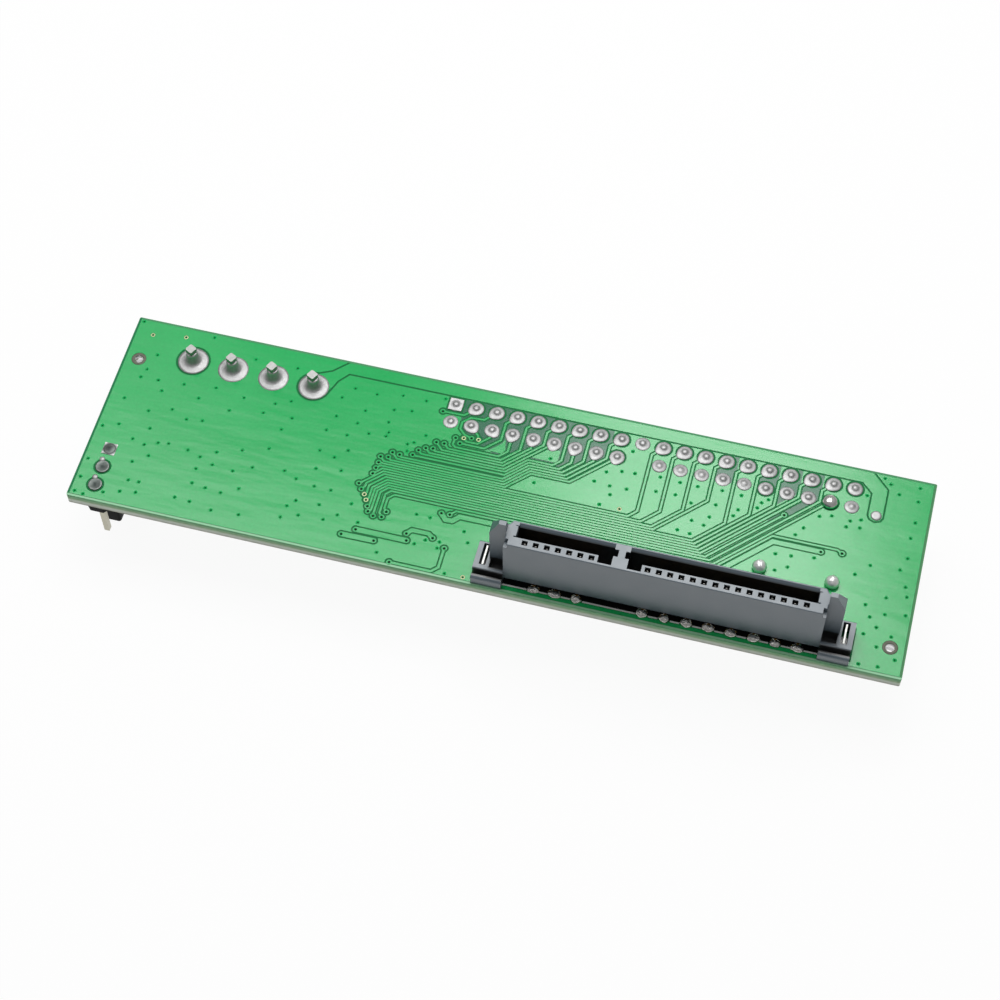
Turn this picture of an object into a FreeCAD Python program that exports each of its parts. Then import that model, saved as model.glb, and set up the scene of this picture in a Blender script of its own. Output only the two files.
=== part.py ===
import FreeCAD, Part
import math
import os
from FreeCAD import Vector

# Adapter card from a ribbon-cable drive port to an upright serial drive socket.
# Millimetres. X runs along the card, Y from its front edge to its back edge, Z up.
# The card lies with the drive socket on top and stands on the rims of its underside headers:
# z = 0 is the plane of those rims, and x = y = 0 is the middle of the board.

# Board
board_depth = 26.4
board_thickness = 1.6
board_corner_radius = 0.2
stand_height = 8.8
left_margin = 4.33
header_gap = 8.26
right_margin = 4.25
tooling_hole_diameter = 1.2
tooling_hole_inset = 1.9
left_tooling_from_back = 6.0
right_tooling_from_front = 3.7
pin_press_gap = 0.01
solder_hollow = 0.25
place_tolerance = 1e-6

# Ribbon-cable header: two rows of square pins in a moulded box
ide_pitch = 2.54
ide_rows = 2
ide_columns = 20
ide_key_row = 1
ide_key_column = 9
ide_row_from_back = 3.01
ide_pin_width = 0.64
ide_pin_tip = 0.25
ide_pin_recess = 0.7
ide_pin_tail = 0.2
ide_end_length = 4.95
ide_shroud_depth = 8.5
ide_wall = 1.1
ide_base_thickness = 2.5
ide_key_width = 4.5
ide_key_height = 5.0
ide_hole_diameter = 1.0
ide_pad_diameter = 1.85
ide_joint_height = 0.35
ide_joint_neck = 0.95

# Drive power header: four round pins in a housing with two cut corners
power_pitch = 5.08
power_count = 4
power_row_from_back = 4.68
power_pin_diameter = 2.1
power_pin_taper = 0.9
power_pin_tip_diameter = 1.2
power_pin_recess = 1.2
power_tail_width = 1.0
power_tail_turn = -28
power_tail_length = 2.6
power_tail_chamfer = 0.12
power_end_length = 4.08
power_housing_depth = 9.0
power_wall = 1.1
power_cavity_corner = 2.4
power_base_thickness = 2.6
power_hole_diameter = 1.7
power_pad_diameter = 3.75
power_joint_height = 1.9
power_joint_neck = 1.5

# Three-pin selector with a cap on its first two pins
jumper_pitch = 2.54
jumper_count = 3
jumper_capped_count = 2
jumper_from_left = 2.84
jumper_from_front = 2.125
jumper_base_width = 2.5
jumper_base_height = 2.5
jumper_base_corner = 0.45
jumper_pin_width = 0.64
jumper_pin_tip = 0.25
jumper_pin_lift = 0.2
jumper_pin_tail = 0.08
jumper_hole_diameter = 1.0
jumper_pad_diameter = 1.9
jumper_joint_height = 0.15
jumper_joint_neck = 0.95
cap_side = 1.05
cap_seat_gap = 0.1
cap_wall = 0.45
cap_floor = 0.9
cap_corner_radius = 0.3
cap_window_diameter = 0.9
cap_pin_end_gap = 0.1
clip_sheet = 0.2

# Drive socket housing, heights measured from the board's face
socket_from_right = 27.85
socket_from_front = 1.4
socket_depth = 3.3
socket_height = 8.2
socket_standoff = 0.7
socket_end_length = 2.325
contact_pitch = 1.27
signal_count = 7
supply_count = 15
contact_group_gap = 6.35
slot_front_wall = 1.2
slot_width = 1.55
slot_floor = 2.0
slot_end_margin = 1.1
slot_lead_in = 0.36
leg_inner_margin = 0.7
leg_outer_margin = 2.3
leg_front_wall = 0.3
divider_notch_depth = 0.48
divider_notch_width = 0.9
cavity_front_wall = 0.4
cavity_width = 0.66
cavity_depth = 0.6
cavity_web_height = 1.0
corner_notch_length = 0.45
corner_notch_depth = 0.8
corner_notch_height = 0.7
back_corner_length = 0.5
back_corner_depth = 0.75
housing_edge_radius = 0.12

# Guide post and foot at each end of the drive socket
post_setback = 1.35
post_thickness = 1.5
post_width = 1.9
post_root = 1.15
post_height = 10.0
post_taper_width = 1.1
post_taper_height = 2.3
post_crest = 0.55
foot_width = 3.55
foot_height = 2.0
foot_back_overhang = 0.1
foot_front_reach = 0.25
foot_pocket_length = 1.75
foot_pocket_depth = 1.15
foot_pocket_floor = 0.9
groove_width = 0.4
groove_floor = 0.5
lip_width = 0.55
lip_height = 1.3
lip_radius = 0.4
peg_diameter = 1.2
peg_hole_diameter = 1.3
peg_from_body = 0.75
peg_from_front = 0.85
peg_end_gap = 0.2

# Board lock strip in each foot
lock_from_body = 2.55
lock_slot_width = 0.8
lock_slot_length = 2.8
lock_slot_from_back = 0.25
lock_sheet = 0.2
lock_length = 2.5
lock_top_gap = 0.15
lock_tail_width = 1.0
lock_tail_reach = 0.7
lock_hole_diameter = 1.3
lock_pad_diameter = 2.3
lock_joint_height = 0.5
lock_joint_neck = 1.25

# Drive socket contacts
contact_sheet = 0.2
contact_width = 0.45
contact_setback = 0.1
contact_tip_gap = 0.6
contact_bow = 0.95
contact_bow_low = 4.0
contact_bow_mid = 5.6
contact_bow_high = 7.0
contact_barb_low = 1.2
contact_barb_high = 2.0
contact_tail_reach = 0.75
tail_solder_reach = 0.3
tail_solder_width = 0.6

# Bent leads: where the rise ends and where the foot starts, as shares of the reach
lead_rise_share = 0.35
lead_knee_share = 0.55

# Bridge chip in a flat square package
chip_size = 10.0
chip_height = 1.4
chip_standoff = 0.1
chip_draft = 0.18
chip_leads_per_side = 16
chip_lead_pitch = 0.5
chip_lead_width = 0.22
chip_lead_sheet = 0.15
chip_lead_reach = 1.0
chip_from_shroud_end = 4.2

# Supply regulator: three leads on one side, a wide tab on the other
regulator_length = 6.5
regulator_depth = 3.5
regulator_height = 1.6
regulator_standoff = 0.1
regulator_draft = 0.15
regulator_lead_count = 3
regulator_lead_pitch = 2.3
regulator_lead_width = 0.7
regulator_lead_sheet = 0.25
regulator_lead_reach = 1.75
regulator_tab_width = 3.0

# Clock crystal
crystal_length = 5.0
crystal_width = 3.2
crystal_base_height = 0.8
crystal_lid_margin = 0.25
crystal_lid_height = 0.45
crystal_from_chip = 3.6

# Tantalum capacitors
tantalum_count = 2
tantalum_length = 3.5
tantalum_width = 2.8
tantalum_height = 1.9
tantalum_terminal_width = 2.2
tantalum_terminal_sheet = 0.15
tantalum_terminal_foot = 0.8
tantalum_terminal_rise = 1.0
tantalum_gap = 2.4
regulator_gap = 4.0

# Chip parts
chip_part_length = 1.6
chip_part_width = 0.8
capacitor_height = 0.8
resistor_height = 0.45
chip_part_radius = 0.08
decoupling_per_side = 4
decoupling_spacing = 2.6
decoupling_from_leads = 0.9
coupling_count = 4
coupling_spacing = 2.54
coupling_from_socket = 1.6
resistor_count = 6
resistor_spacing = 1.6
resistor_from_front = 2.0
array_count = 7
array_length = 3.2
array_width = 1.6
array_height = 0.6
array_spacing = 4.2
array_from_shroud = 1.0
array_from_chip = 4.0

# Status lamp
led_length = 2.0
led_width = 1.25
led_base_height = 0.45
led_lens_radius = 0.55
led_from_right = 2.7
led_from_front = 10.0

# Axial ferrite bead
bead_lead_spacing = 8.4
bead_from_right = 9.65
bead_from_front = 10.15
bead_diameter = 3.5
bead_length = 4.4
bead_board_gap = 0.2
bead_wire_diameter = 0.6
bead_wire_bend = 0.7
bead_wire_tail = 0.5
bead_hole_diameter = 0.9
bead_ball_diameter = 1.65
bead_ball_height = 1.25

# Solder-filled test hole at the end of the supply strip
test_pad_diameter = 1.35
test_pad_height = 0.3
test_pad_from_right = 6.24
test_pad_from_back = 6.04

# Places worked out from the sizes above
ide_length = (ide_columns - 1) * ide_pitch + 2 * ide_end_length
power_length = (power_count - 1) * power_pitch + 2 * power_end_length
board_length = left_margin + power_length + header_gap + ide_length + right_margin
board_left = -board_length / 2
board_right = board_length / 2
board_front = -board_depth / 2
board_back = board_depth / 2
board_bottom = stand_height
board_top = board_bottom + board_thickness

power_left = board_left + left_margin
power_first_x = power_left + power_end_length
power_y = board_back - power_row_from_back
ide_left = power_left + power_length + header_gap
ide_first_x = ide_left + ide_end_length
ide_outer_y = board_back - ide_row_from_back
ide_middle_y = ide_outer_y - (ide_rows - 1) * ide_pitch / 2
ide_front = ide_middle_y - ide_shroud_depth / 2
jumper_x = board_left + jumper_from_left
jumper_front_y = board_front + jumper_from_front

socket_x = board_right - socket_from_right
socket_front = board_front + socket_from_front
socket_back = socket_front + socket_depth
supply_span = (supply_count - 1) * contact_pitch
signal_span = (signal_count - 1) * contact_pitch
contact_span = signal_span + contact_group_gap + supply_span
signal_first_x = socket_x - contact_span / 2
signal_last_x = signal_first_x + signal_span
supply_first_x = signal_last_x + contact_group_gap
supply_last_x = supply_first_x + supply_span
body_half = contact_span / 2 + socket_end_length
cavity_front = socket_front + cavity_front_wall
lock_y = socket_back + foot_back_overhang - lock_slot_from_back - lock_slot_length / 2

lane_y = (board_front + ide_front) / 2
chip_x = ide_left + chip_from_shroud_end
chip_span = chip_size / 2 + chip_lead_reach
crystal_x = chip_x - chip_span - crystal_from_chip - crystal_length / 2
regulator_x = crystal_x - crystal_length / 2 - regulator_gap - regulator_length / 2
tantalum_x = regulator_x - regulator_length / 2 - tantalum_gap - tantalum_length / 2
bead_right_x = board_right - bead_from_right
bead_y = board_front + bead_from_front


# Shape helpers
def block(x0, x1, y0, y1, z0, z1):
    return Part.makeBox(x1 - x0, y1 - y0, z1 - z0, Vector(x0, y0, z0))


def centred_block(x, y, length, width, z0, z1):
    return block(x - length / 2, x + length / 2, y - width / 2, y + width / 2, z0, z1)


def cylinder(x, y, diameter, z0, z1):
    return Part.makeCylinder(diameter / 2, z1 - z0, Vector(x, y, z0))


def outline_face(points):
    return Part.Face(Part.makePolygon(points + points[:1]))


def prism_x(points_yz, x0, x1):
    face = outline_face([Vector(x0, y, z) for y, z in points_yz])
    return face.extrude(Vector(x1 - x0, 0, 0))


def prism_y(points_xz, y0, y1):
    face = outline_face([Vector(x, y0, z) for x, z in points_xz])
    return face.extrude(Vector(0, y1 - y0, 0))


def prism_z(points_xy, z0, z1):
    face = outline_face([Vector(x, y, z0) for x, y in points_xy])
    return face.extrude(Vector(0, 0, z1 - z0))


def edges_along(shape, axis):
    found = []
    for edge in shape.Edges:
        run = edge.Vertexes[-1].Point - edge.Vertexes[0].Point
        if run.Length > 0 and run.cross(axis).Length < place_tolerance:
            found.append(edge)
    return found


def rounded_block(x0, x1, y0, y1, z0, z1, radius):
    solid = block(x0, x1, y0, y1, z0, z1)
    return solid.makeFillet(radius, edges_along(solid, Vector(0, 0, 1)))


def soft_block(x, y, length, width, z0, z1, radius):
    solid = centred_block(x, y, length, width, z0, z1)
    return solid.makeFillet(radius, solid.Edges)


def square_wire(x, y, width, z):
    half = width / 2
    corners = [(-half, -half), (half, -half), (half, half), (-half, half)]
    points = [Vector(x + dx, y + dy, z) for dx, dy in corners]
    return Part.makePolygon(points + points[:1])


def square_pin(x, y, width, z0, z1, tip):
    tip_width = width - tip
    sections = [
        square_wire(x, y, tip_width, z0),
        square_wire(x, y, width, z0 + tip),
        square_wire(x, y, width, z1 - tip),
        square_wire(x, y, tip_width, z1),
    ]
    return Part.makeLoft(sections, True, True)


def revolved(edges):
    face = Part.Face(Part.Wire(edges))
    return face.revolve(Vector(0, 0, 0), Vector(0, 0, 1), 360)


def line(start, end):
    return Part.LineSegment(Vector(start[0], 0, start[1]), Vector(end[0], 0, end[1])).toShape()


def arc(start, through, end):
    points = [Vector(r, 0, z) for r, z in (start, through, end)]
    return Part.Arc(*points).toShape()


def solder_joint(hole_diameter, pad_diameter, neck_diameter, height, upward):
    """Solder that fills a hole and climbs a pin, about z = 0 at the soldered face."""
    hole, pad, neck = hole_diameter / 2, pad_diameter / 2, neck_diameter / 2
    sag = solder_hollow * min(pad - neck, height)
    waist = ((pad + neck) / 2 - sag, (height - sag) / 2)
    edges = [
        line((0, -board_thickness), (hole, -board_thickness)),
        line((hole, -board_thickness), (hole, 0)),
        line((hole, 0), (pad, 0)),
        arc((pad, 0), waist, (neck, height)),
        line((neck, height), (0, height)),
        line((0, height), (0, -board_thickness)),
    ]
    joint = revolved(edges)
    if upward:
        joint.translate(Vector(0, 0, board_top))
    else:
        joint = joint.mirror(Vector(0, 0, 0), Vector(0, 0, 1))
        joint.translate(Vector(0, 0, board_bottom))
    return joint


def solder_dome(diameter, height):
    """A round cap of solder, lying on z = 0."""
    radius = diameter / 2
    sphere = (radius ** 2 + height ** 2) / (2 * height)
    turn = math.atan2(radius, sphere - height) / 2
    middle = (sphere * math.sin(turn), height - sphere + sphere * math.cos(turn))
    edges = [
        line((0, 0), (radius, 0)),
        arc((radius, 0), middle, (0, height)),
        line((0, height), (0, 0)),
    ]
    return revolved(edges)


def at(shape, x, y, z=0.0):
    copy = shape.copy()
    copy.translate(Vector(x, y, z))
    return copy


def group(solids):
    return Part.makeCompound(solids)


def save(name, shape):
    shape.exportStep("parts/" + name + ".step")


# Places of the repeated pieces
ide_places = []
for row in range(ide_rows):
    for column in range(ide_columns):
        if row == ide_key_row and column == ide_key_column:
            continue
        ide_places.append((ide_first_x + column * ide_pitch, ide_outer_y - row * ide_pitch))
power_places = [(power_first_x + i * power_pitch, power_y) for i in range(power_count)]
jumper_places = []
for i in range(jumper_count):
    jumper_places.append((jumper_x, jumper_front_y + (jumper_count - 1 - i) * jumper_pitch))
lock_places = [(socket_x + side * (body_half + lock_from_body), lock_y) for side in (-1, 1)]
peg_y = socket_front + peg_from_front
peg_places = [(socket_x + side * (body_half + peg_from_body), peg_y) for side in (-1, 1)]
bead_places = [(bead_right_x - bead_lead_spacing, bead_y), (bead_right_x, bead_y)]
tooling_places = [
    (board_left + tooling_hole_inset, board_back - left_tooling_from_back),
    (board_right - tooling_hole_inset, board_front + right_tooling_from_front),
]


# Circuit board: drilled laminate
def circuit_board():
    plate = rounded_block(board_left, board_right, board_front, board_back,
                          board_bottom, board_top, board_corner_radius)
    drilled = [
        (ide_places, ide_hole_diameter),
        (power_places, power_hole_diameter),
        (jumper_places, jumper_hole_diameter),
        (lock_places, lock_hole_diameter),
        (peg_places, peg_hole_diameter),
        (bead_places, bead_hole_diameter),
        (tooling_places, tooling_hole_diameter),
    ]
    holes = []
    for places, diameter in drilled:
        for x, y in places:
            holes.append(cylinder(x, y, diameter, board_bottom, board_top))
    return plate.cut(group(holes))


# Ribbon-cable header
def ide_shroud():
    ide_right = ide_left + ide_length
    ide_back = ide_front + ide_shroud_depth
    floor = board_bottom - ide_base_thickness
    shroud = block(ide_left, ide_right, ide_front, ide_back, 0, board_bottom)
    well = block(ide_left + ide_wall, ide_right - ide_wall,
                 ide_front + ide_wall, ide_back - ide_wall, 0, floor)
    key_x = ide_left + ide_length / 2
    key = block(key_x - ide_key_width / 2, key_x + ide_key_width / 2,
                ide_back - ide_wall, ide_back, 0, ide_key_height)
    width = ide_pin_width + 2 * pin_press_gap
    bores = [centred_block(x, y, width, width, floor, board_bottom) for x, y in ide_places]
    return shroud.cut(well).cut(key).cut(group(bores))


def ide_pin():
    return square_pin(0, 0, ide_pin_width, ide_pin_recess, board_top + ide_pin_tail, ide_pin_tip)


def ide_joint():
    joint = solder_joint(ide_hole_diameter, ide_pad_diameter, ide_joint_neck,
                         ide_joint_height, True)
    return joint.cut(ide_pin())


# Drive power header
def power_housing():
    right = power_left + power_length
    front = power_y - power_housing_depth / 2
    back = power_y + power_housing_depth / 2
    floor = board_bottom - power_base_thickness
    housing = block(power_left, right, front, back, 0, board_bottom)
    x0, x1 = power_left + power_wall, right - power_wall
    y0, y1 = front + power_wall, back - power_wall
    cavity = prism_z([
        (x0, y0), (x1, y0),
        (x1, y1 - power_cavity_corner), (x1 - power_cavity_corner, y1),
        (x0 + power_cavity_corner, y1), (x0, y1 - power_cavity_corner),
    ], 0, floor)
    diameter = power_pin_diameter + 2 * pin_press_gap
    bores = [cylinder(x, y, diameter, floor, board_bottom) for x, y in power_places]
    return housing.cut(cavity).cut(group(bores))


def power_pin():
    """A turned round pin with a square soldered tail."""
    radius, tip = power_pin_diameter / 2, power_pin_tip_diameter / 2
    base = power_pin_recess
    shank = revolved([
        line((0, base), (tip, base)),
        line((tip, base), (radius, base + power_pin_taper)),
        line((radius, base + power_pin_taper), (radius, board_bottom)),
        line((radius, board_bottom), (0, board_bottom)),
        line((0, board_bottom), (0, base)),
    ])
    tail = centred_block(0, 0, power_tail_width, power_tail_width,
                         board_bottom, board_top + power_tail_length)
    tail = tail.makeChamfer(power_tail_chamfer, edges_along(tail, Vector(0, 0, 1)))
    tail.rotate(Vector(0, 0, 0), Vector(0, 0, 1), power_tail_turn)
    return shank.fuse(tail).removeSplitter()


def power_joint():
    joint = solder_joint(power_hole_diameter, power_pad_diameter, power_joint_neck,
                         power_joint_height, True)
    return joint.cut(power_pin())


# Selector header, its cap and the cap's clip
jumper_base_low = board_bottom - jumper_base_height
cap_top = jumper_base_low - cap_seat_gap
capped_places = jumper_places[:jumper_capped_count]
cap_y = (capped_places[0][1] + capped_places[-1][1]) / 2
cap_length = (jumper_capped_count - 1) * jumper_pitch + 2 * cap_side
cap_width = 2 * cap_side
clip_length = cap_length - 2 * cap_wall
clip_width = jumper_pin_width + 2 * clip_sheet


def jumper_base():
    half, corner = jumper_base_width / 2, jumper_base_corner
    cells = []
    for x, y in jumper_places:
        low, high = y - jumper_pitch / 2, y + jumper_pitch / 2
        cells.append(prism_z([
            (x - half, low + corner), (x - half + corner, low),
            (x + half - corner, low), (x + half, low + corner),
            (x + half, high - corner), (x + half - corner, high),
            (x - half + corner, high), (x - half, high - corner),
        ], jumper_base_low, board_bottom))
    base = cells[0].multiFuse(cells[1:]).removeSplitter()
    width = jumper_pin_width + 2 * pin_press_gap
    bores = []
    for x, y in jumper_places:
        bores.append(centred_block(x, y, width, width, jumper_base_low, board_bottom))
    return base.cut(group(bores))


def jumper_pin():
    return square_pin(0, 0, jumper_pin_width, jumper_pin_lift, board_top + jumper_pin_tail,
                      jumper_pin_tip)


def jumper_joint():
    joint = solder_joint(jumper_hole_diameter, jumper_pad_diameter, jumper_joint_neck,
                         jumper_joint_height, True)
    return joint.cut(jumper_pin())


def jumper_cap():
    shell = rounded_block(jumper_x - cap_width / 2, jumper_x + cap_width / 2,
                          cap_y - cap_length / 2, cap_y + cap_length / 2,
                          0, cap_top, cap_corner_radius)
    pocket = centred_block(jumper_x, cap_y, clip_width, clip_length, cap_floor, cap_top)
    pin_ends = []
    for x, y in capped_places:
        pin_ends.append(centred_block(x, y, clip_width, clip_width,
                                      jumper_pin_lift - cap_pin_end_gap, cap_floor))
    window = cylinder(jumper_x, cap_y, cap_window_diameter, 0, cap_floor)
    return shell.cut(pocket).cut(group(pin_ends)).cut(window)


def jumper_clip():
    """A strip folded round both pins: two leaves joined by a bridge at each end."""
    clip = centred_block(jumper_x, cap_y, clip_width, clip_length, cap_floor, cap_top)
    inside = centred_block(jumper_x, cap_y, jumper_pin_width,
                           clip_length - 2 * clip_sheet, cap_floor, cap_top)
    return clip.cut(inside)


# Drive socket housing
def contact_row():
    """Each contact's x, and whether its tail comes out under the front face."""
    row = []
    for i in range(signal_count):
        row.append((signal_first_x + i * contact_pitch, i % 2 == 1))
    for i in range(supply_count):
        row.append((supply_first_x + i * contact_pitch, i % 2 == 0))
    return row


def slot_cut(outer_x, last_contact_x, side):
    """One mating slot with its key leg; side is +1 where the divider lies towards +X."""
    slot_front = socket_front + slot_front_wall
    slot_back = slot_front + slot_width
    low = board_top + slot_floor
    high = board_top + socket_height
    inner_x = last_contact_x + side * leg_outer_margin
    leg_x = last_contact_x + side * leg_inner_margin
    notch_x = inner_x + side * divider_notch_depth
    notch_y = (slot_front + slot_back) / 2
    lead_low = high - slot_lead_in
    x_lo, x_hi = sorted((outer_x, inner_x))
    leg_lo, leg_hi = sorted((leg_x, inner_x))
    notch_lo, notch_hi = sorted((inner_x, notch_x))
    main = block(x_lo, x_hi, slot_front, slot_back, low, high)
    leg = block(leg_lo, leg_hi, socket_front + leg_front_wall, slot_front, low, high)
    notch = block(notch_lo, notch_hi, notch_y - divider_notch_width / 2,
                  notch_y + divider_notch_width / 2, low, high)
    back_lead = prism_x([(slot_back, lead_low), (slot_back, high),
                         (slot_back + slot_lead_in, high)], x_lo, x_hi)
    end_lead = prism_y([(outer_x, lead_low), (outer_x, high),
                        (outer_x - side * slot_lead_in, high)], slot_front, slot_back)
    return main.multiFuse([leg, notch, back_lead, end_lead])


def socket_body():
    left, right = socket_x - body_half, socket_x + body_half
    high = board_top + socket_height
    plan = [
        (left, socket_front), (right, socket_front),
        (right, socket_back - back_corner_depth), (right - back_corner_length, socket_back),
        (left + back_corner_length, socket_back), (left, socket_back - back_corner_depth),
    ]
    body = prism_z(plan, board_top + socket_standoff, high)
    top_edges = [e for e in body.Edges if min(v.Z for v in e.Vertexes) > high - housing_edge_radius]
    body = body.makeFillet(housing_edge_radius, top_edges)
    cuts = [
        slot_cut(signal_first_x - slot_end_margin, signal_last_x, 1),
        slot_cut(supply_last_x + slot_end_margin, supply_first_x, -1),
    ]
    cavity_back = cavity_front + cavity_depth
    slot_front = socket_front + slot_front_wall
    for x, _ in contact_row():
        x0, x1 = x - cavity_width / 2, x + cavity_width / 2
        cuts.append(block(x0, x1, cavity_front, cavity_back, board_top + socket_standoff, high))
        cuts.append(block(x0, x1, cavity_back, slot_front,
                          board_top + slot_floor, high - cavity_web_height))
    for x, inward in ((left, 1), (right, -1)):
        x0, x1 = sorted((x, x + inward * corner_notch_length))
        cuts.append(block(x0, x1, socket_front, socket_front + corner_notch_depth,
                          high - corner_notch_height, high))
    return body.cut(group(cuts))


def socket_end(side):
    """Guide post, foot, locating peg and lock slot beyond one end of the body."""
    def x_at(distance):
        return socket_x + side * (body_half + distance)

    def x_pair(near, far):
        return sorted((x_at(near), x_at(far)))

    base = board_top
    foot_front = socket_front - foot_front_reach
    foot_back = socket_back + foot_back_overhang
    post_front = socket_front + post_setback
    post_back = post_front + post_thickness
    post_low = base + post_height - post_taper_height

    x0, x1 = x_pair(-post_root, post_width)
    shoulder = post_back - post_front - post_crest
    post = prism_x([
        (post_front, base), (post_back, base), (post_back, post_low),
        (post_back - shoulder, base + post_height), (post_front, base + post_height),
    ], x0, x1)
    x_in, x_out = x_at(post_width - post_taper_width), x_at(post_width)
    taper = prism_y([(x_out, post_low), (x_out, base + post_height), (x_in, base + post_height)],
                    post_front, post_back)
    x0, x1 = x_pair(-post_root, 0)
    above_body = block(x0, x1, post_front, post_back, base + socket_height, base + post_height)
    post = post.cut(taper).cut(above_body)

    x0, x1 = x_pair(0, foot_width)
    lip_front = foot_front - groove_width - lip_width
    foot = block(x0, x1, foot_front, foot_back, base, base + foot_height)
    foot = foot.makeFillet(housing_edge_radius, edges_along(foot, Vector(1, 0, 0)))
    sill = block(x0, x1, foot_front - groove_width, foot_front + lip_width,
                 base, base + groove_floor)
    lip = block(x0, x1, lip_front, foot_front - groove_width, base, base + lip_height)
    crown = [e for e in edges_along(lip, Vector(1, 0, 0))
             if e.Vertexes[0].Z > base and e.Vertexes[0].Y < lip_front + lip_width / 2]
    lip = lip.makeFillet(lip_radius, crown)
    x_low, x_high = x_pair(0, foot_pocket_length)
    pocket = block(x_low, x_high, post_front - foot_pocket_depth, post_front,
                   base + foot_pocket_floor, base + foot_height)
    peg_x = x_at(peg_from_body)
    peg = cylinder(peg_x, peg_y, peg_diameter, board_bottom + peg_end_gap, base + groove_floor)
    lock_x = x_at(lock_from_body)
    slot = centred_block(lock_x, lock_y, lock_slot_width, lock_slot_length,
                         base, base + foot_height)
    end = foot.cut(pocket).multiFuse([sill, lip, post, peg])
    return end.cut(slot)


def drive_socket_housing():
    housing = socket_body().multiFuse([socket_end(-1), socket_end(1)])
    return housing.removeSplitter()


# Drive socket contacts, their solder and the lock strips
def contact(x, tail_in_front):
    sheet, base = contact_sheet, board_top
    front = cavity_front + contact_setback
    back = front + sheet
    top = base + socket_height - contact_tip_gap
    low, mid, high = base + contact_bow_low, base + contact_bow_mid, base + contact_bow_high
    spine = [
        (front, base), (back, base), (back, low), (back + contact_bow, mid), (back, high),
        (back, top), (front, top), (front, high), (front + contact_bow, mid), (front, low),
    ]
    x0, x1 = x - contact_width / 2, x + contact_width / 2
    strip = prism_x(spine, x0, x1)
    if tail_in_front:
        foot = block(x0, x1, socket_front - contact_tail_reach, back, base, base + sheet)
    else:
        foot = block(x0, x1, front, socket_back + contact_tail_reach, base, base + sheet)
    barb = block(x - cavity_width / 2, x + cavity_width / 2, front, back,
                 base + contact_barb_low, base + contact_barb_high)
    return strip.multiFuse([foot, barb]).removeSplitter()


def tail_solder(x, tail_in_front):
    if tail_in_front:
        toe, outward = socket_front - contact_tail_reach, -1
    else:
        toe, outward = socket_back + contact_tail_reach, 1
    fillet = [(toe, board_top), (toe + outward * tail_solder_reach, board_top),
              (toe, board_top + contact_sheet)]
    return prism_x(fillet, x - tail_solder_width / 2, x + tail_solder_width / 2)


def lock_strip(x, y):
    strip = centred_block(x, y, lock_sheet, lock_length,
                          board_top, board_top + foot_height - lock_top_gap)
    tail = centred_block(x, y, lock_sheet, lock_tail_width, board_bottom - lock_tail_reach, board_top)
    return strip.fuse(tail).removeSplitter()


def lock_joint():
    joint = solder_joint(lock_hole_diameter, lock_pad_diameter, lock_joint_neck,
                         lock_joint_height, False)
    return joint.cut(lock_strip(0, 0))


# Moulded packages and their bent leads on the underside.
# A lead is drawn in d, its distance out from the package's middle, and h, its depth below the board.
def bent_lead(half_body, middle, sheet, reach, width):
    rise = lead_rise_share * reach
    knee = lead_knee_share * reach
    outline = [
        (half_body, middle + sheet / 2), (half_body + rise, middle + sheet / 2),
        (half_body + knee, sheet), (half_body + reach, sheet), (half_body + reach, 0),
        (half_body + knee - sheet / 2, 0), (half_body + rise - sheet, middle - sheet / 2),
        (half_body, middle - sheet / 2),
    ]
    return prism_y([(d, board_bottom - h) for d, h in outline], -width / 2, width / 2)


def moulded_package(x, y, length, depth, standoff, height, draft, band):
    """A moulded body that tapers away from a straight band at its parting line."""
    middle = standoff + height / 2
    levels = [
        (standoff, draft), (middle - band / 2, 0), (middle + band / 2, 0),
        (standoff + height, draft),
    ]
    wires = []
    for depth_below, inset in levels:
        half_x, half_y = length / 2 - inset, depth / 2 - inset
        z = board_bottom - depth_below
        corners = [(-half_x, -half_y), (half_x, -half_y), (half_x, half_y), (-half_x, half_y)]
        points = [Vector(x + dx, y + dy, z) for dx, dy in corners]
        wires.append(Part.makePolygon(points + points[:1]))
    return Part.makeLoft(wires, True, True)


def turned(shape, degrees):
    copy = shape.copy()
    copy.rotate(Vector(0, 0, 0), Vector(0, 0, 1), degrees)
    return copy


def bridge_chip_leads():
    lead = bent_lead(chip_size / 2, chip_standoff + chip_height / 2, chip_lead_sheet,
                     chip_lead_reach, chip_lead_width)
    leads = []
    for side in range(4):
        for i in range(chip_leads_per_side):
            offset = (i - (chip_leads_per_side - 1) / 2) * chip_lead_pitch
            leads.append(at(turned(at(lead, 0, offset), 90 * side), chip_x, lane_y))
    return group(leads)


def regulator_leads():
    middle = regulator_standoff + regulator_height / 2
    lead = bent_lead(regulator_depth / 2, middle, regulator_lead_sheet,
                     regulator_lead_reach, regulator_lead_width)
    tab = bent_lead(regulator_depth / 2, middle, regulator_lead_sheet,
                    regulator_lead_reach, regulator_tab_width)
    leads = [at(turned(tab, 90), regulator_x, lane_y)]
    for i in range(regulator_lead_count):
        offset = (i - (regulator_lead_count - 1) / 2) * regulator_lead_pitch
        leads.append(at(turned(at(lead, 0, offset), -90), regulator_x, lane_y))
    return group(leads)


def tantalum_y(index):
    step = tantalum_width + tantalum_gap
    return lane_y + (index - (tantalum_count - 1) / 2) * step


def tantalum_body(index):
    top = board_bottom - tantalum_terminal_sheet
    return centred_block(tantalum_x, tantalum_y(index), tantalum_length, tantalum_width,
                         top - tantalum_height, top)


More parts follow.
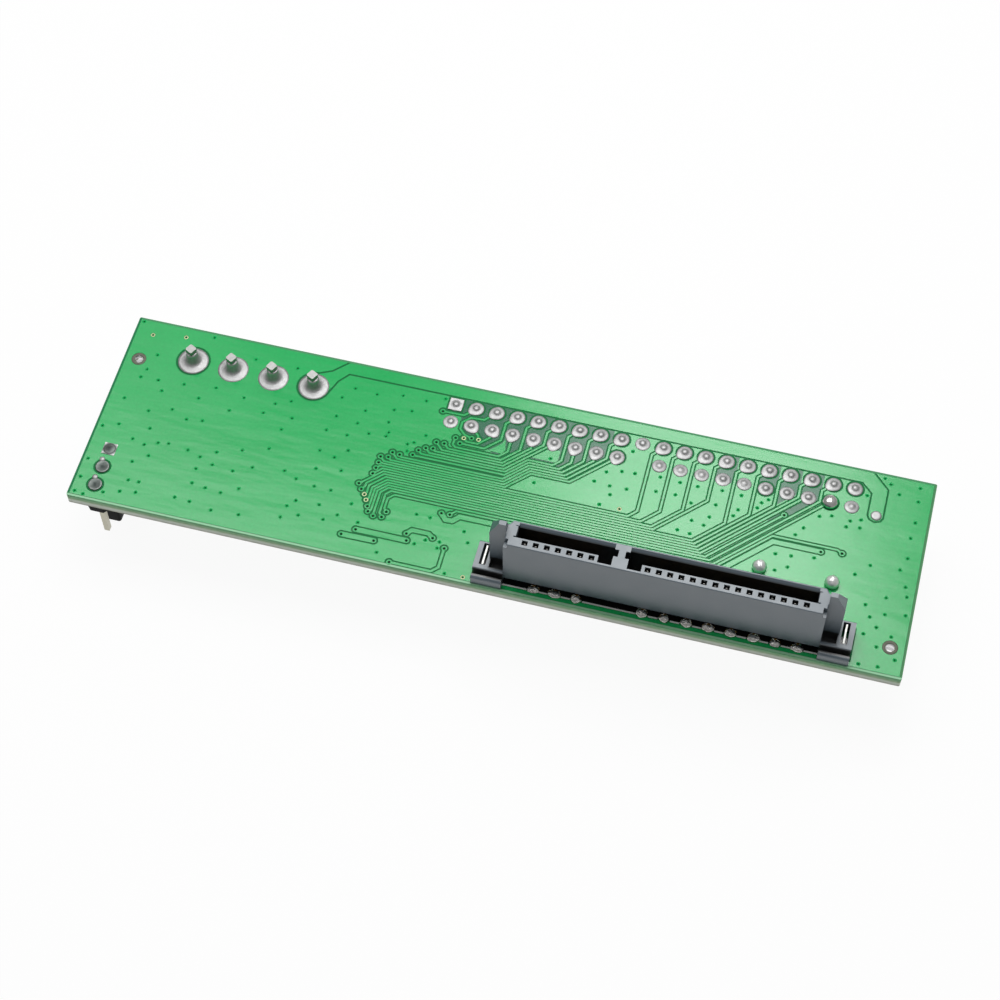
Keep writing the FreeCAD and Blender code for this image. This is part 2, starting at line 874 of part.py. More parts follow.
def tantalum_terminals():
    half, sheet = tantalum_length / 2, tantalum_terminal_sheet
    fold = [
        (half - tantalum_terminal_foot, 0), (half + sheet, 0),
        (half + sheet, sheet + tantalum_terminal_rise), (half, sheet + tantalum_terminal_rise),
        (half, sheet), (half - tantalum_terminal_foot, sheet),
    ]
    terminal = prism_y([(d, board_bottom - h) for d, h in fold],
                       -tantalum_terminal_width / 2, tantalum_terminal_width / 2)
    terminals = []
    for index in range(tantalum_count):
        for degrees in (0, 180):
            terminals.append(at(turned(terminal, degrees), tantalum_x, tantalum_y(index)))
    return group(terminals)


# Clock crystal: a ceramic tray closed by a metal lid
def crystal_base():
    return centred_block(crystal_x, lane_y, crystal_length, crystal_width,
                         board_bottom - crystal_base_height, board_bottom)


def crystal_lid():
    top = board_bottom - crystal_base_height
    lid = centred_block(crystal_x, lane_y, crystal_length - 2 * crystal_lid_margin,
                        crystal_width - 2 * crystal_lid_margin, top - crystal_lid_height, top)
    return lid.makeFillet(crystal_lid_margin, edges_along(lid, Vector(0, 0, 1)))


# Chip parts, in rows
def chip_part(x, y, height):
    return soft_block(x, y, chip_part_width, chip_part_length,
                      board_bottom - height, board_bottom, chip_part_radius)


def ceramic_capacitors():
    parts = []
    reach = chip_span + decoupling_from_leads + chip_part_width / 2
    for side in (-1, 1):
        for i in range(decoupling_per_side):
            offset = (i - (decoupling_per_side - 1) / 2) * decoupling_spacing
            parts.append(chip_part(chip_x + side * reach, lane_y + offset, capacitor_height))
    y = socket_back + coupling_from_socket + chip_part_length / 2
    for i in range(coupling_count):
        parts.append(chip_part(signal_first_x + i * coupling_spacing, y, capacitor_height))
    return group(parts)


def chip_resistors():
    parts = []
    for i in range(resistor_count):
        x = tantalum_x + (i - (resistor_count - 1) / 2) * resistor_spacing
        parts.append(chip_part(x, board_front + resistor_from_front, resistor_height))
    return group(parts)


def resistor_arrays():
    parts = []
    first = chip_x + chip_span + array_from_chip + array_length / 2
    y = ide_front - array_from_shroud - array_width / 2
    for i in range(array_count):
        parts.append(soft_block(first + i * array_spacing, y, array_length, array_width,
                                board_bottom - array_height, board_bottom, chip_part_radius))
    return group(parts)


def status_led():
    x, y = board_right - led_from_right, board_front + led_from_front
    low = board_bottom - led_base_height
    base = centred_block(x, y, led_length, led_width, low, board_bottom)
    lens = Part.makeSphere(led_lens_radius, Vector(x, y, low), Vector(0, 0, -1), 0, 90)
    return base.fuse(lens).removeSplitter()


# Ferrite bead on a bent wire
bead_axis_z = board_bottom - bead_board_gap - bead_diameter / 2


def bead_wire():
    (x0, y), (x1, _) = bead_places
    top, bend, low = board_top + bead_wire_tail, bead_wire_bend, bead_axis_z
    give = bend * (1 - math.sqrt(0.5))
    path = Part.Wire([
        Part.LineSegment(Vector(x0, y, top), Vector(x0, y, low + bend)).toShape(),
        Part.Arc(Vector(x0, y, low + bend), Vector(x0 + give, y, low + give),
                 Vector(x0 + bend, y, low)).toShape(),
        Part.LineSegment(Vector(x0 + bend, y, low), Vector(x1 - bend, y, low)).toShape(),
        Part.Arc(Vector(x1 - bend, y, low), Vector(x1 - give, y, low + give),
                 Vector(x1, y, low + bend)).toShape(),
        Part.LineSegment(Vector(x1, y, low + bend), Vector(x1, y, top)).toShape(),
    ])
    section = Part.Wire(Part.makeCircle(bead_wire_diameter / 2, Vector(x0, y, top)))
    return path.makePipeShell([section], True, True)


def ferrite_bead():
    x = bead_right_x - bead_lead_spacing / 2
    start = Vector(x - bead_length / 2, bead_y, bead_axis_z)
    along = Vector(1, 0, 0)
    bead = Part.makeCylinder(bead_diameter / 2, bead_length, start, along)
    bore = Part.makeCylinder(bead_wire_diameter / 2, bead_length, start, along)
    return bead.cut(bore)


def bead_joint():
    ball = at(solder_dome(bead_ball_diameter, bead_ball_height), 0, 0, board_top)
    plug = cylinder(0, 0, bead_hole_diameter, board_bottom, board_top)
    wire = cylinder(0, 0, bead_wire_diameter, board_bottom, board_top + bead_wire_tail)
    return ball.fuse(plug).cut(wire)


os.makedirs("parts", exist_ok=True)

save("circuit_board", circuit_board())

save("ide_shroud", ide_shroud())
save("ide_pins", group([at(ide_pin(), x, y) for x, y in ide_places]))
save("ide_solder_joints", group([at(ide_joint(), x, y) for x, y in ide_places]))

save("power_header_housing", power_housing())
for number, (x, y) in enumerate(power_places, 1):
    save("power_pin_%d" % number, at(power_pin(), x, y))
save("power_solder_joints", group([at(power_joint(), x, y) for x, y in power_places]))

save("jumper_header_base", jumper_base())
for number, (x, y) in enumerate(jumper_places, 1):
    save("jumper_pin_%d" % number, at(jumper_pin(), x, y))
save("jumper_solder_joints", group([at(jumper_joint(), x, y) for x, y in jumper_places]))
save("jumper_cap", jumper_cap())
save("jumper_cap_clip", jumper_clip())

save("drive_socket_housing", drive_socket_housing())
contacts = contact_row()
save("socket_signal_contacts", group([contact(*c) for c in contacts[:signal_count]]))
save("socket_power_contacts", group([contact(*c) for c in contacts[signal_count:]]))
save("socket_tail_solder", group([tail_solder(*c) for c in contacts]))
for side_name, (x, y) in zip(("left", "right"), lock_places):
    save("socket_board_lock_" + side_name, lock_strip(x, y))
save("board_lock_solder", group([at(lock_joint(), x, y) for x, y in lock_places]))

save("bridge_chip_body", moulded_package(chip_x, lane_y, chip_size, chip_size, chip_standoff,
                                         chip_height, chip_draft, chip_lead_sheet))
save("bridge_chip_leads", bridge_chip_leads())
save("regulator_body", moulded_package(regulator_x, lane_y, regulator_length, regulator_depth,
                                       regulator_standoff, regulator_height, regulator_draft,
                                       regulator_lead_sheet))
save("regulator_leads", regulator_leads())
save("crystal_base", crystal_base())
save("crystal_lid", crystal_lid())
for index in range(tantalum_count):
    save("tantalum_capacitor_%d" % (index + 1), tantalum_body(index))
save("tantalum_terminals", tantalum_terminals())
save("ceramic_capacitors", ceramic_capacitors())
save("chip_resistors", chip_resistors())
save("resistor_arrays", resistor_arrays())
save("status_led", status_led())

save("ferrite_bead", ferrite_bead())
save("ferrite_bead_wire", bead_wire())
save("bead_solder_joints", group([at(bead_joint(), x, y) for x, y in bead_places]))
save("test_pad_solder", at(solder_dome(test_pad_diameter, test_pad_height),
                           board_right - test_pad_from_right, board_back - test_pad_from_back,
                           board_top))
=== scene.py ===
import math
import random
from functools import partial

import bpy
import bmesh
from mathutils import Matrix, Vector
from mathutils.geometry import delaunay_2d_cdt


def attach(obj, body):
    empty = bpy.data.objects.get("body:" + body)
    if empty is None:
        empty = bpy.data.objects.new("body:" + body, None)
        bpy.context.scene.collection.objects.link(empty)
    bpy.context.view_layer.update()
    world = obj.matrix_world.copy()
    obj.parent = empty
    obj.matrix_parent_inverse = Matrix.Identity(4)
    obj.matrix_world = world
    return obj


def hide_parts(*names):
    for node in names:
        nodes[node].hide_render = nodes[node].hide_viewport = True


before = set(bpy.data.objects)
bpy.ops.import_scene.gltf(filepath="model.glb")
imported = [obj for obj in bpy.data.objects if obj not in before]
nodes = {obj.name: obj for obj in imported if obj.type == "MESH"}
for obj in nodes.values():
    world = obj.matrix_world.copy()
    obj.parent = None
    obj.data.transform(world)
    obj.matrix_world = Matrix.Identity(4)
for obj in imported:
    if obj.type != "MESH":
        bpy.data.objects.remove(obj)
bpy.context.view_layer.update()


# Board
# One sheet of woven glass in epoxy, sawn to size and drilled. Both faces are coated with green
# solder mask, and the sawn sides and drilled walls show the pale glass layers.
mm = 0.001
board_low, board_high = 8.8, 10.4
board_half_x, board_half_y = 49.2, 13.2
rim, rim_fade = 0.3, 0.06


def linear(code):
    """An sRGB hex colour as linear RGBA."""
    channels = [int(code[i:i + 2], 16) / 255 for i in (1, 3, 5)]
    return [c / 12.92 if c <= 0.04045 else ((c + 0.055) / 1.055) ** 2.4 for c in channels] + [1.0]


def add_node(material, kind, inputs, **settings):
    """Add a shader node; an input takes a value, a socket, or a node whose live output it reads."""
    node = material.node_tree.nodes.new("ShaderNode" + kind)
    for name, value in settings.items():
        setattr(node, name, value)
    for name, value in inputs.items():
        if isinstance(value, bpy.types.Node):
            value = next(output for output in value.outputs if output.enabled)
        if isinstance(value, bpy.types.NodeSocket):
            material.node_tree.links.new(value, node.inputs[name])
        else:
            node.inputs[name].default_value = value
    return node


def start_material(name):
    """An empty material, the function that adds its nodes, and its Object coordinates."""
    material = bpy.data.materials.new(name)
    material.use_nodes = True
    material.node_tree.nodes.clear()
    add = partial(add_node, material)
    return material, add, add("TexCoord", {}).outputs["Object"]


def close_material(material, shader):
    add_node(material, "OutputMaterial", {"Surface": shader})
    return material


def dress(material, slot_name, *names):
    """Give CAD nodes their finish."""
    for name in names:
        nodes[name].data.materials.clear()
        nodes[name].data.materials.append(material)


# Mask on bare laminate looks dark where it sinks into the etched gaps. At the rims a pale painted
# highlight runs along the front, and duller lines of painted shade run along the other sides; the
# sawn glass looks pale and fibrous
laminate, add, place = start_material("solder_mask_on_glass_epoxy")
facing = add("SeparateXYZ", {0: add("TexCoord", {}).outputs["Normal"]}).outputs
upright = add("Math", {0: facing["Z"]}, operation="ABSOLUTE")
face_share = add("Math", {0: upright, 1: 0.5}, operation="GREATER_THAN")
position = add("SeparateXYZ", {0: place}).outputs
layer = add("MapRange", {0: position["Z"], 1: board_low * mm, 2: board_high * mm})
sawn = add("ValToRGB", {0: layer})
for stop, code in ((0.03, "#bfc1b3"), (0.12, "#dfe3d8"), (0.3, "#f0f8ec"), (0.42, "#e4f3de"),
                   (0.52, "#bfd6b4"), (0.65, "#a9d0a8"), (0.85, "#90c899"), (0.95, "#6ca87a")):
    sawn.color_ramp.elements.new(stop).color = linear(code)
sawn.color_ramp.elements.remove(sawn.color_ramp.elements[0])
sawn.color_ramp.elements.remove(sawn.color_ramp.elements[-1])
stretched = add("VectorMath", {0: place, 1: (0.25, 0.25, 1.0)}, operation="MULTIPLY")
fibre = add("TexNoise", {"Vector": stretched, "Scale": 1 / (0.16 * mm), "Detail": 2.0})
fibrous = add("Mix", {0: 0.35, 6: sawn, 7: fibre}, data_type="RGBA", blend_type="OVERLAY")
cloud = add("TexNoise", {"Vector": place, "Scale": 1 / (1.5 * mm), "Detail": 3.0})
mask = add("Mix", {0: cloud, 6: linear("#096836"), 7: linear("#0d7640")}, data_type="RGBA")
# The rim colours by side are painted light: a pale painted highlight in front, painted shade on the
# other three
for axis, half, sign, code in (
        ("Y", board_half_y, 1, "#4b9263"), ("X", board_half_x, 1, "#4f8a5c"),
        ("X", board_half_x, -1, "#1f7a4c"), ("Y", board_half_y, -1, "#9bd0a8")):
    painted_rim_band = add("MapRange", {0: position[axis], 1: sign * (half - rim) * mm,
                                2: sign * (half - rim + rim_fade) * mm})
    mask = add("Mix", {0: painted_rim_band, 6: mask, 7: linear(code)}, data_type="RGBA")
colour = add("Mix", {0: face_share, 6: fibrous, 7: mask}, data_type="RGBA")
gloss = add("MapRange", {0: face_share, 3: 0.85, 4: 0.45})
close_material(laminate, add("BsdfPrincipled", {
    "Base Color": colour, "Roughness": gloss, "Specular IOR Level": 0.12}))
dress(laminate, "green_laminate", "circuit_board")


# Copper of the upper face
# Copper foil etched into a ground pour, the tracks from the ribbon header, and a supply strip
# along the back edge, all under solder mask. It is drawn as flat outlines that overlay each other.
copper_rise, bare_rise = 0.045, 0.012
track_width, track_gap = 0.235, 0.18
via_land, open_via, pad_gap, cut_width = 0.33, 0.2, 0.21, 0.22
square_gap, power_gap, selector_gap = 1.06, 2.12, 1.08
ide_x, ide_pitch, row_a, row_b = -8.26, 2.54, 10.19, 7.65
ide_pad, teardrop = 0.925, 1.17
power_x, power_row = (-40.79, -35.71, -30.63, -25.55), 8.52
selector_x, selector_y = -46.36, (-5.995, -8.535, -11.075)
tooling_holes, tooling_clear = ((-47.3, 7.2), (47.3, -9.5)), 0.9


def disc(x, y, radius, sides=16):
    turns = [2 * math.pi * i / sides for i in range(sides)]
    return [(x + radius * math.cos(t), y + radius * math.sin(t)) for t in turns]


def plate(x0, x1, y0, y1):
    return [(x0, y0), (x1, y0), (x1, y1), (x0, y1)]


def ribbon(route, width, overrun=0.0):
    """Outline of a strip that follows a route, with mitred corners."""
    points = [Vector(p) for p in route]
    steps = [(b - a).normalized() for a, b in zip(points, points[1:])]
    points[0] = points[0] - steps[0] * overrun
    points[-1] = points[-1] + steps[-1] * overrun
    left, right = [], []
    for i, point in enumerate(points):
        before, after = steps[max(i - 1, 0)], steps[min(i, len(steps) - 1)]
        mitre = (before + after).normalized()
        across = Vector((-mitre.y, mitre.x))
        reach = width / 2 / across.dot(Vector((-after.y, after.x)))
        left.append(point + across * reach)
        right.append(point - across * reach)
    return right + left[::-1]


def mesh_object(name, bm, material):
    """Put a finished mesh into the scene."""
    mesh = bpy.data.meshes.new(name)
    bm.to_mesh(mesh)
    bm.free()
    mesh.materials.append(material)
    obj = bpy.data.objects.new(name, mesh)
    bpy.context.scene.collection.objects.link(obj)
    return obj


def piece(name, bm, material, slot_name, *replaced):
    """Make a mesh drawn in mm a piece of the card."""
    bmesh.ops.scale(bm, vec=(mm, mm, mm), verts=bm.verts)
    obj = mesh_object(name, bm, material)
    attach(obj, "root")
    if replaced:
        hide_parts(*replaced)


def etch(shapes, kept, z, rise):
    """Overlay the drawn shapes and raise the faces whose topmost shape is of a kept kind."""
    ranks = ("pour", "bare", "gap", "pocket", "cut", "track", "drill")
    points, outlines = [], []
    for kind, outline in shapes:
        outlines.append(list(range(len(points), len(points) + len(outline))))
        points.extend(Vector(p) for p in outline)
    flat, _, faces, _, _, owners = delaunay_2d_cdt(points, [], outlines, 1, 1e-5)
    bm = bmesh.new()
    corners = [bm.verts.new((p.x, p.y, z)) for p in flat]
    for face, owner in zip(faces, owners):
        if not owner:
            continue
        if max((shapes[i][0] for i in owner), key=ranks.index) in kept:
            bm.faces.new([corners[i] for i in face])
    bmesh.ops.delete(bm, geom=[v for v in bm.verts if not v.link_faces], context="VERTS")
    raised = bmesh.ops.extrude_face_region(bm, geom=bm.faces[:], use_keep_orig=True)["geom"]
    bmesh.ops.translate(bm, vec=(0, 0, rise),
                        verts=[g for g in raised if isinstance(g, bmesh.types.BMVert)])
    bmesh.ops.recalc_face_normals(bm, faces=bm.faces)
    return bm


random.seed(11)
upper = [("pour", plate(rim - board_half_x, board_half_x - rim,
                        rim - board_half_y, board_half_y - rim))]
drilled_vias = []


def track(route, width=track_width, ends=(-1,)):
    """A track with its gap; ends tells which of its corners have a via."""
    upper.append(("gap", ribbon(route, width + 2 * track_gap, track_gap)))
    upper.append(("track", ribbon(route, width)))
    for x, y in (route[i] for i in ends):
        radius = max(via_land, width / 2)
        upper.append(("gap", disc(x, y, radius + pad_gap)))
        upper.append(("track", disc(x, y, radius)))
        drilled_vias.append((x, y))


def pad_x(column):
    return ide_x + ide_pitch * column


def from_a(column, *rest):
    """Corners of a track that leaves the back row by a teardrop and runs forwards."""
    x = pad_x(column)
    return [(x, row_a), (x - teardrop, row_a - teardrop), *rest]


def fall(x, intercept, lane):
    """Two corners: from a run at x into a 45 degree leg, and from that leg into a lane."""
    return [(x, x + intercept), (lane - intercept, lane)]


# Tracks from the pins to the vias at the left: column, row, legs with their lanes, last corners
for column, row, legs, last in (
        (4, "a", ((5.04, 3.90),), [(-7.6, 3.90), (-8.2, 4.5)]),
        (4, "b", ((4.42, 3.54),), [(-8.25, 3.54), (-9.15, 4.45)]),
        (5, "a", ((3.86, 3.17),), [(-8.97, 3.17), (-9.3, 3.5)]),
        (5, "b", ((3.25, 2.77),), [(-9.57, 2.77), (-10.15, 3.35)]),
        (6, "a", ((-0.25, 4.70), (2.71, 2.42)), [(-10.47, 2.42), (-10.9, 2.85)]),
        (6, "b", ((-1.45, 4.34), (2.20, 1.99)), [(-11.1, 1.99), (-11.4, 2.05)]),
        (7, "a", ((-2.28, 3.98), (1.70, 1.41)), [(-12.61, 1.41), (-12.9, 1.7)]),
        (7, "b", ((-3.03, 3.62), (1.17, 1.06)), [(-13.06, 1.06), (-13.8, 1.8)]),
        (8, "a", ((-3.73, 3.26), (0.66, 0.69)), [(-13.74, 0.69), (-14.1, 1.05)]),
        (8, "b", ((-4.50, 2.92), (0.13, 0.36)), [(-14.46, 0.36), (-15.0, 0.9)]),
        (10, "a", ((-15.0, 0.03),), [(-14.6, 0.03), (-15.0, 0.05)]),
        (11, "a", ((-16.95, -0.315),), [(-14.66, -0.315), (-15.1, -0.75)]),
        (12, "a", ((-18.65, -0.66),), [(-14.31, -0.66), (-15.25, -1.6)]),
        (13, "a", ((-19.24, -1.005),), [(-14.1, -1.005), (-16.1, -3.0), (-16.45, -3.3)]),
        (14, "a", ((-24.3, -1.35),), [(-13.9, -1.35), (-15.6, -3.05), (-15.6, -3.5),
                                      (-15.95, -4.0)]),
        (15, "a", ((-24.98, -1.695),), [(-13.6, -1.695), (-15.2, -3.3), (-15.2, -4.3),
                                        (-15.4, -4.6)]),
        (16, "a", ((-25.65, -2.04),), [(-13.34, -2.04), (-14.75, -3.45), (-14.75, -5.0),
                                       (-15.0, -5.3)]),
        (17, "a", ((-26.32, -2.385),), [(-13.185, -2.385), (-14.4, -3.6), (-14.4, -5.8),
                                        (-14.6, -6.1)]),
        (17, "b", ((-26.94, -2.73),), [(-13.03, -2.73), (-14.05, -3.75), (-14.05, -6.45),
                                       (-14.35, -6.75)]),
        (18, "a", ((-28.83, -3.42),), [(-12.45, -3.42), (-13.0, -3.97), (-13.0, -6.6),
                                       (-12.6, -7.1)]),
        (18, "b", ((-29.72, -3.83),), [(-11.95, -3.83), (-12.6, -4.48), (-12.6, -5.9),
                                       (-12.25, -6.3)])):
    x = pad_x(column) - (teardrop if row == "a" else 0)
    corners = fall(x, *legs[0])
    for (_, lane), leg in zip(legs, legs[1:]):
        corners += fall(lane - leg[0], *leg)
    if row == "a":
        route = from_a(column, *corners, *last)
    elif corners[0][1] > row_b - 0.2:
        route = [(x, row_b), (x - 0.5, x - 0.5 + legs[0][0]), *corners[1:], *last]
    else:
        route = [(x, row_b), *corners, *last]
    track(route)
for route in (
        [(-3.18, row_b), (-3.18, 6.6), (-4.38, 5.40), (-5.75, 5.40), (-6.15, 5.8)],
        from_a(3, (-1.81, 6.6), (-3.46, 4.95), (-6.4, 4.97)),
        [(-0.64, row_b), *fall(-0.64, 5.87, 4.32), (-6.85, 4.32), (-7.2, 4.67), (-7.1, 5.6)],
        [(-5.72, row_a), (-6.95, 8.95), (-9.55, 8.9)],
        [(-3.18, row_a), (-4.45, 8.9), (-6.05, 8.8), (-6.9, 7.95), (-6.9, 7.0), (-6.2, 6.3),
         (-5.25, 6.0)],
        [(-5.72, row_b), (-4.6, 6.55), (-4.4, 6.0)]):
    track(route)

# Tracks from via to via, and the wide supply tracks
for width, route in (
        (track_width, [(32.6, 4.65), (24.855, -3.075), (-12.87, -3.075), (-13.65, -3.855),
                       (-13.65, -6.8), (-13.6, -7.2)]),
        (track_width, [(40.0, 1.2), (39.4, 1.55), (31.82, 1.55), (26.05, -4.22), (-4.4, -4.22),
                       (-5.0, -4.85)]),
        (0.6, [(37.6, 0.82), (32.0, 0.82), (26.33, -4.85), (-3.8, -4.85), (-4.5, -5.6),
               (-5.3, -5.65), (-6.0, -4.9)]),
        (0.66, [(-15.05, -9.45), (-8.95, -9.45)]), (0.66, [(-16.5, -10.45), (-12.6, -10.4)]),
        (0.5, [(-9.2, -8.55), (-8.7, -7.95), (-6.7, -7.95), (-6.1, -8.4)]),
        (0.3, [(-4.45, -9.4), (-4.45, -12.0), (-5.15, -12.7), (-10.1, -12.7)])):
    track(route, width, (0, -1))

# Laminate left bare: the field of the left pins, pockets between the right pins' tracks, and the
# ground under the socket, which is always in its shade and is drawn with the dark mask of the gaps
# as painted shade; then three islands of foil
for outline in (
        [(-7.25, 11.3), (-7.25, 8.9), (-6.9, 6.9), (-5.0, 5.6), (-2.9, 4.9), (-0.9, 3.8),
         (0.2, 0.5), (2.7, 2.8), (7.4, 2.8), (11.0, 7.0), (11.0, 11.3)],
        [(23.6, 8.8), (23.9, 7.2), (25.4, 7.0), (26.1, 7.8), (26.1, 11.2), (25.5, 11.2),
         (25.5, 9.8)],
        [(28.8, 9.0), (29.1, 7.2), (30.9, 7.2), (31.1, 8.0), (31.1, 11.2), (30.6, 11.2),
         (30.6, 9.8)],
        [(31.35, 5.7), (33.7, 7.9), (33.7, 11.2), (33.2, 11.2), (31.35, 9.2)],
        [(33.9, 7.5), (36.1, 7.2), (36.3, 11.2), (35.7, 11.2), (33.9, 9.2)],
        [(34.4, 7.0), (36.1, 7.1), (32.0, 3.0), (30.8, 3.5)]):
    area = sum(a[0] * b[1] - b[0] * a[1] for a, b in zip(outline, outline[1:] + outline[:1]))
    upper.append(("bare", outline if area > 0 else outline[::-1]))
# Painted shade: the bare ground under the socket takes the dark mask of the gaps
upper.append(("gap", plate(-0.6, 43.3, -12.45, -8.0)))
for outline in ([(2.3, 5.15), (5.1, 5.1), (5.4, 5.4), (5.4, 6.85), (3.8, 6.6)],
                [(-2.9, 4.85), (-1.3, 4.75), (-0.95, 5.3), (-1.3, 6.9), (-1.55, 6.2)],
                [(-25.55, 8.5), (-23.9, 7.9), (-22.9, 10.0), (-21.8, 11.3), (-21.8, 12.85),
                 (-22.4, 12.85), (-24.0, 11.25), (-25.4, 10.6)]):
    upper.append(("pocket", outline))

# Gaps round the pads that stand apart from the pour, and the cuts along the supply strip
for column in range(20):
    if column not in (0, 9):
        upper.append(("gap", disc(pad_x(column), row_a, ide_pad + pad_gap, 24)))
    if column in (8, 15, 18):
        upper.append(("gap", disc(pad_x(column), row_b, ide_pad + pad_gap, 24)))
upper.append(("gap", plate(ide_x - square_gap, ide_x + square_gap,
                           row_a - square_gap, row_a + square_gap)))
for x in power_x[::3]:
    upper.append(("gap", disc(x, power_row, power_gap, 32)))
for x, y in tooling_holes:
    upper.append(("drill", disc(x, y, tooling_clear, 32)))
for y in selector_y[1:]:
    upper.append(("gap", disc(selector_x, y, selector_gap, 24)))
for route in ([(-25.5, 10.55), (-24.0, 11.25), (-22.3, 12.95)],
              [(-23.75, 7.6), (-22.9, 9.95), (-21.85, 11.27), (40.7, 11.27), (41.95, 10.05),
               (41.95, 7.0), (42.25, 6.5), (42.9, 6.25), (43.55, 6.5), (43.8, 7.0), (43.8, 10.95),
               (41.85, 12.95)]):
    upper.append(("cut", ribbon(route, cut_width)))

# Vias of the pour, tented with mask that has sunk into them
pour_vias = (
    (-48.5, 12.65), (-39.4, 12.45), (-33.5, 10.6), (-28.2, 10.6), (-45.3, 8.3), (-45.85, 6.0),
    (-46.2, 4.75), (-44.0, 4.8), (-40.8, 5.0), (-36.9, 5.45), (-33.2, 4.9), (-29.3, 5.0),
    (-27.55, 5.8), (-43.1, 3.45), (-38.45, 3.5), (-34.35, 2.7), (-30.3, 3.4), (-26.75, 3.5),
    (-22.3, 2.9), (-47.1, 1.35), (-41.0, 1.2), (-43.7, 0.3), (-38.9, 0.25), (-37.0, 0.5),
    (-27.5, 1.65), (-22.2, -0.05), (-46.5, -2.35), (-42.7, -2.05), (-28.1, -1.3), (-31.1, -2.3),
    (-21.9, -2.6), (-48.3, -3.05), (-44.2, -3.95), (-42.6, -4.4), (-41.1, -3.75), (-39.85, -3.55),
    (-37.35, -3.85), (-35.65, -4.4), (-33.95, -3.3), (-33.9, -5.1), (-35.6, -6.1), (-31.3, -5.35),
    (-29.2, -4.3), (-25.4, -3.8), (-23.75, -4.55), (-41.6, -5.75), (-43.2, -7.0), (-48.4, -7.85),
    (-35.4, -8.1), (-33.7, -8.35), (-31.75, -8.55), (-29.85, -7.5), (-22.9, -7.4), (-23.7, -8.35),
    (-42.8, -9.55), (-41.5, -9.5), (-48.4, -10.45), (-36.75, -10.45), (-34.9, -10.6),
    (-41.4, -10.95), (-43.25, -11.25), (-32.1, -11.1), (-28.8, -10.9), (-24.0, -10.0),
    (-22.05, -9.25), (-45.1, -11.85), (-48.4, -12.45), (-47.3, -12.65),
    (-20.6, 9.5), (-14.75, 9.9), (-11.85, 9.85), (-17.85, 9.3), (-21.8, 7.85), (-15.25, 7.65),
    (-13.15, 8.0), (-18.55, 6.7), (-15.4, 5.8), (-21.7, 5.1), (-18.95, 4.75), (-10.6, 5.05),
    (-17.25, 3.65), (-15.15, 3.8), (-15.0, 4.4), (-12.4, 3.35), (-11.7, 3.75), (-12.2, 2.4),
    (-19.7, 2.8), (-9.7, 10.7), (-18.95, 0.75), (-20.25, -0.55), (-18.95, -2.15), (-21.4, -5.0),
    (-19.35, -5.05), (-16.5, -6.25), (-20.1, -7.3), (-17.65, -8.1), (-15.05, -8.5), (-19.1, -9.1),
    (-8.75, -5.75), (-7.1, -5.8), (-2.8, -6.65), (-2.0, -8.0), (-6.85, -8.85),
    (-5.2, -8.7), (-5.25, -9.55), (-7.95, -9.65), (-11.85, -11.8), (-3.55, -12.6),
    (4.5, 5.55), (3.4, 1.8), (11.3, 5.35), (13.05, 5.85), (14.6, 5.95), (10.2, 3.75), (12.1, 3.55),
    (14.1, 3.6), (12.4, 2.4), (11.5, 0.8), (13.7, 8.9), (17.6, 6.2), (17.5, 4.15), (20.0, 6.05),
    (19.8, 4.25), (22.1, 6.0), (25.0, 6.15), (27.3, 6.05), (27.3, 4.05), (21.8, 3.6), (24.65, 4.05),
    (26.9, 3.1), (24.25, 2.25), (22.35, 1.3), (23.85, 1.0), (21.0, -0.35), (22.5, -0.5),
    (30.45, 6.25), (29.75, 5.65), (29.4, 4.85), (36.6, 5.5), (38.0, 5.9), (40.15, 5.75),
    (39.85, 4.85), (41.35, 6.2), (41.4, 5.1), (35.1, 3.5), (34.35, 2.35), (41.5, 9.65),
    (43.15, 12.5), (43.95, 11.85), (45.1, 10.7), (43.4, 0.45), (37.0, -0.15), (32.6, -0.7),
    (34.4, -0.55), (34.25, -2.1), (32.9, -2.85), (41.9, -1.15), (45.85, -3.3), (47.35, 12.15),
    (47.4, 10.25), (47.5, 7.35), (47.3, 5.15), (47.4, 2.4), (46.8, 0.7), (47.75, -1.4),
    (48.1, -2.65), (43.7, -4.75), (48.35, -5.05), (46.05, -5.5), (44.45, -6.2), (45.4, -7.35),
    (47.2, -8.15), (44.1, -8.5), (45.8, -9.8), (48.05, -10.95), (44.2, -12.4), (46.35, -12.25))
bare_vias = ((-46.8, 11.0), (-42.75, 11.65), (-6.15, 5.8), (-4.4, 6.0), (-1.4, -12.55),
             (13.9, 0.75), (-15.4, -4.6), (-15.0, -5.3))
via_funnel, via_sides = 0.25, 10
for places, radius, sides in ((pour_vias, via_funnel, via_sides), (bare_vias, 0.28, 12),
                              (drilled_vias, open_via, 10)):
    upper.extend(("drill", disc(x, y, radius, sides)) for x, y in places)


# Mask over copper looks brighter, because the foil throws light back through it: a clear emerald
# with a satin gloss and a fine orange peel.
def solder_mask(name, dark, light, roughness, shine):
    """Solder mask whose tone drifts over centimetres, with a fine orange peel."""
    material, add, place = start_material(name)
    cloud = add("TexNoise", {"Vector": place, "Scale": 1 / (9 * mm), "Detail": 4.0})
    tone = add("Mix", {0: cloud, 6: linear(dark), 7: linear(light)}, data_type="RGBA")
    speck = add("TexNoise", {"Vector": place, "Scale": 1 / (0.35 * mm), "Detail": 3.0})
    speckled = add("Mix", {0: 0.12, 6: tone, 7: speck}, data_type="RGBA", blend_type="OVERLAY")
    gloss = add("MapRange", {0: cloud, 3: roughness[0], 4: roughness[1]})
    drawn = add("VectorMath", {0: place, 1: (0.25, 1.0, 1.0)}, operation="MULTIPLY")
    ripple = add("TexNoise", {"Vector": drawn, "Scale": 1 / (1.6 * mm), "Detail": 2.0})
    wave = add("Bump", {"Height": ripple, "Distance": 0.035 * mm})
    bump = add("Bump", {"Height": speck, "Distance": 0.003 * mm, "Normal": wave})
    return close_material(material, add("BsdfPrincipled", {
        "Base Color": speckled, "Roughness": gloss, "IOR": 1.52, "Specular IOR Level": shine,
        "Normal": bump}))


